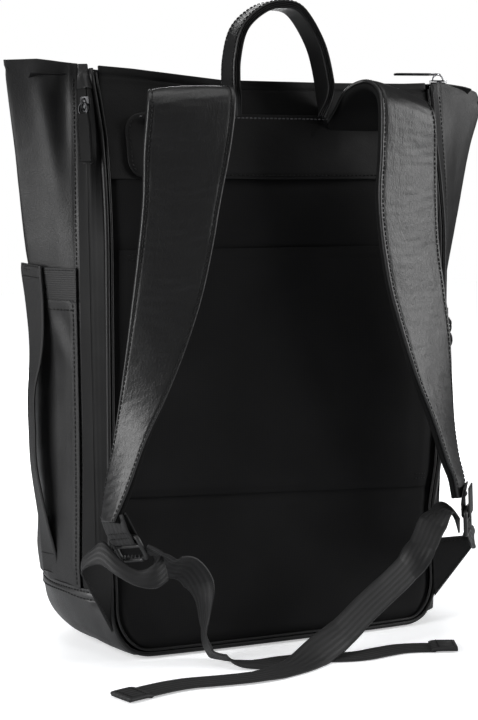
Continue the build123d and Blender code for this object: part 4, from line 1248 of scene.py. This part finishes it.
def tail(name):
    points, widths = zip(*TAILS[name])
    line = nurbs_points(points)
    run = run_along(line)
    controls = np.array(points) * MM
    nearest = [run[np.argmin(np.linalg.norm(line - c, axis=1))] for c in controls]
    width = np.array([[np.interp(r, nearest, [unit(w)[k] for w in widths]) for k in range(3)] for r in run])
    along = unit(np.gradient(line, axis=0))
    width = unit(width - along * np.sum(width * along, axis=1)[:, None])
    centre = line / MM
    centre[:, 2] -= fade(12.0 - centre[:, 2], 8.0) * (2.4 if name == "left" else 1.6)
    left, right = centre - width * WEBBING / 2, centre + width * WEBBING / 2
    for edge in (left, right):
        edge[:, 2] = np.maximum(edge[:, 2], 0.9)
    leaf, *_ = band(f"tail_web_{name}", left, right, 1.6, WEB, None, "webbing", samples=len(line) * 2,
                    columns=np.linspace(-1, 1, 17))
    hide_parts(f"tail_{name}")
    last, along_end = centre[-1], unit(along[-1] * np.array([1, 1, 0]))
    side = np.array([-along_end[1], along_end[0], 0.0])

    def on_floor(distance, height, across=0.0):
        at = last + along_end * distance + side * across
        return np.array([at[0], at[1], height])

    rows = [on_floor(d, 1.55 + h) for d, h in ((-3, 0.2), (0, 0.9), (4, 1.2), (12, 1.3), (17.5, 1.2))]
    end, *_ = band(f"tail_fold_{name}", [r - side * 12.6 for r in rows],
                                             [r + side * 12.6 for r in rows], 3.4, WEB, "root", "webbing",
                                             samples=30)
    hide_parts(f"tail_end_{name}")
    for k, d in enumerate((2.5, 15.0)):
        row = [on_floor(d, 4.5, w) for w in np.linspace(-10.5, 10.5, 12)]
        stitches(f"tail_fold_stitch_{name}_{k}", row, [(0, 0, 1)] * 12, DARK_THREAD, "root", "webbing",
                 pitch=2.4, length=1.9, radius=0.36)
    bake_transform(leaf)


tail("left")
tail("right")


# ---- carry handle -------------------------------------------------------------------------------
def carry_handle():
    path = [(-44, 421), (-44, 429), (-44, 440), (-43.5, 464), (-37, 488), (-20.5, 503), (-3, 507.5),
            (13, 502.5), (29.5, 478), (37.5, 450), (39.5, 434), (39.5, 421)]
    path = [(x, -63.3 + 0.42 * max(440 - z, 0.0), z) for x, z in path]
    centre_line = smooth_line(path, 160)
    turn_in = fade(446 - centre_line[:, 2], 30)
    width = unit(np.column_stack([np.sign(centre_line[:, 0]) * 0.5 * turn_in, 1 - 0.13 * turn_in,
                                  0 * turn_in]))
    along = unit(np.gradient(centre_line, axis=0))
    out = unit(np.cross(along, width))
    out *= np.sign(out[80, 2])
    for k in range(4):
        centre = centre_line + out * (k - 1.5) * 1.6
        half = 12.9 if k in (0, 3) else 12.3
        material, slot = (STRAP, "leather_straps") if k == 3 else (EDGE, "piping_leather")
        leaf, *_ = band(f"carry_loop_{k}", centre - width * half, centre + width * half, 1.45, material,
                        "carry_handle", slot, samples=150, columns=np.linspace(-1, 1, 21))
        if k == 3:
            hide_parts("carry_handle")
            for edge in (-1, 1):
                stitches(f"carry_stitch_{'rear' if edge < 0 else 'front'}",
                         centre + out * 0.72 + width * edge * 9.9, out,
                         DARK_THREAD, "carry_handle", "leather_straps")
    for side, x in (("left", -44.0), ("right", 39.0)):
        lean = math.atan2(12.5, YOKE_HIGH_Z - YOKE_LOW_Z)
        up = np.array((0, math.sin(lean), math.cos(lean)))
        away = np.array((0, -math.cos(lean), math.sin(lean)))
        patch = box_piece(f"handle_patch_{side}", (18, 12, 1.6), (x, back_y(410) - 2.6, 410),
                          ((1, 0, 0), up, -away), PANEL_SHADED, "root", "leather_panels", 0.5)
        if side == "left":
            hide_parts("handle_anchor")


carry_handle()


# ---- top zip ------------------------------------------------------------------------------------
def zip_top(x):
    """Height of the top zip's teeth: they sag with the edge and stay level where it rises."""
    return min(top_z(x) - 3.2, TOP_Z - 7.2)


def top_zip():
    y = -21.5
    for name, dy in (("rear", -2.6), ("front", 2.6)):
        xs = np.linspace(-196, 196, 120)
        grid = np.array([[(x, y + dy * share, zip_top(x) - 1.3 - 1.5 * (1 - share)) for x in xs]
                         for share in np.linspace(0.2, 3.6, 8)])
        tape, *_ = sheet(f"top_tape_{name}", grid, 0.9, FILM, slot="zip_tape", flip=dy < 0, bevel=0.2)
        if dy < 0:
            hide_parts("top_zip_tape")
    verts, faces = [], []
    for x in np.arange(-184.0, 181.0, 4.0):
        z = zip_top(x)
        for shift, dy in ((0.0, -1.1), (2.0, 1.1)):
            start = len(verts)
            verts += [(x + shift + sx * 1.0, y + dy + sy * 1.9, z + sz * 1.0)
                      for sx in (-1, 1) for sy in (-1, 1) for sz in (-1, 1)]
            faces += [tuple(start + v for v in face) for face in BOX_FACES]
    teeth = piece("top_teeth", verts, faces, STEEL, "root", "zip_metal", bevel=0.3)
    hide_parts("top_zip_chain")
    axes = local_axes((1, 0, 0), (0, 0, 1))
    slide_z = TOP_Z - 4.0
    place = np.array((168.0, y, slide_z))
    body = slider("main_slider", place, axes, (14, 9.5, 7.4), "top_slider", BRIGHT_STEEL)
    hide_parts("top_slider")
    pin = np.array((168.0, y, slide_z + 3.2 + 2.6 + 0.42 * 4.4))
    link = pull_ring("main_pull_link", pin, axes, 11, 8, "top_pull", BRIGHT_STEEL)
    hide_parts("top_pull")
    rows = [pin - np.array((d, 0, 0.02 * d)) for d in (8, 12, 24, 36, 41)]
    half = [3.4, 4.4, 4.6, 4.6, 3.8]
    band("main_pull_tab", [p - np.array((0, h, 0)) for p, h in zip(rows, half)],
         [p + np.array((0, h, 0)) for p, h in zip(rows, half)], 1.9, STEEL, "top_pull", "zip_metal",
         samples=40)


top_zip()


# ---- floor, light and camera --------------------------------------------------------------------
# name, place, target, size in millimetres, watts
SOFTBOXES = [
    ("left_softbox", (-1500, -260, 520), (-180, 0, 250), (900, 1300), 33),
    ("right_softbox", (1500, -760, 640), (60, -90, 280), (700, 1300), 24),
    ("top_softbox", (0, -300, 1900), (0, 0, 200), (1500, 1500), 13),
    ("rear_softbox", (500, 1700, 620), (0, 60, 230), (1000, 1200), 22),
]
CAMERA_PLACE, CAMERA_TURN, CAMERA_FALL = (-580.6, -1261.7, 370.5), math.radians(24.4), math.radians(6.13)
LENS, SENSOR = 125.55, 36.0
ROOM_LIGHT = 0.04


def pale_floor():
    """A floor that lights itself a little for the camera and is dark far off for reflections."""
    g = Graph("pale floor")
    grain = g.noise(g.place(), 40, 2.0)
    pale = g.mix(grain, (0.83, 0.84, 0.86, 1), (0.87, 0.88, 0.9, 1))
    seen = g.add("LightPath").outputs["Is Camera Ray"]
    away = g.add("VectorMath", {0: g.coords.outputs["Object"]}, operation="LENGTH").outputs["Value"]
    far = g.math("MULTIPLY", g.span(away, 0.45, 1.1, 0.0, 0.85), g.math("SUBTRACT", 1.0, seen))
    pale = g.mix(far, pale, (0.05, 0.05, 0.05, 1))
    material = g.finish(pale, 0.7, None, Specular_IOR_Level=0.2, Emission_Color=(1.0, 1.0, 1.0, 1.0))
    lift = g.math("MULTIPLY", seen, g.span(away, 0.2, 1.3, 0.42, 0.95))
    g.tree.links.new(lift, g.shader.inputs["Emission Strength"])
    return material


def aim(obj, place, view):
    """Stands obj at place, in millimetres, looking along view."""
    bpy.context.scene.collection.objects.link(obj)
    obj.location = Vector(place) * MM
    obj.rotation_euler = view.to_track_quat("-Z", "Y").to_euler()


def stage():
    size = 4000.0
    floor = piece("floor", [(-size, -size, 0), (size, -size, 0), (size, size, 0), (-size, size, 0)],
                  [(0, 1, 2, 3)], pale_floor(), None)
    world = bpy.data.worlds.new("studio")
    bpy.context.scene.world = world
    world.use_nodes = True
    tree = world.node_tree
    background = tree.nodes["Background"]
    path = tree.nodes.new("ShaderNodeLightPath")
    ramp = tree.nodes.new("ShaderNodeMapRange")
    ramp.inputs[3].default_value = ROOM_LIGHT
    ramp.inputs[4].default_value = 1.0
    tree.links.new(path.outputs["Is Camera Ray"], ramp.inputs[0])
    tree.links.new(ramp.outputs[0], background.inputs["Strength"])
    background.inputs["Color"].default_value = (1, 1, 1, 1)
    for name, place, target, (width, height), watts in SOFTBOXES:
        data = bpy.data.lights.new(name, "AREA")
        data.shape, data.size, data.size_y, data.energy = "RECTANGLE", width * MM, height * MM, watts
        aim(bpy.data.objects.new(name, data), place, Vector(target) - Vector(place))
    camera_data = bpy.data.cameras.new("camera")
    camera_data.sensor_width, camera_data.sensor_fit = SENSOR, "HORIZONTAL"
    camera_data.lens = LENS
    camera_data.clip_start = 0.05
    camera = bpy.data.objects.new("camera", camera_data)
    level_part = math.cos(CAMERA_FALL)
    aim(camera, CAMERA_PLACE, Vector((math.sin(CAMERA_TURN) * level_part, math.cos(CAMERA_TURN) * level_part,
                                      -math.sin(CAMERA_FALL))))
    bpy.context.scene.camera = camera
    bpy.context.scene.view_settings.view_transform = "Standard"


stage()
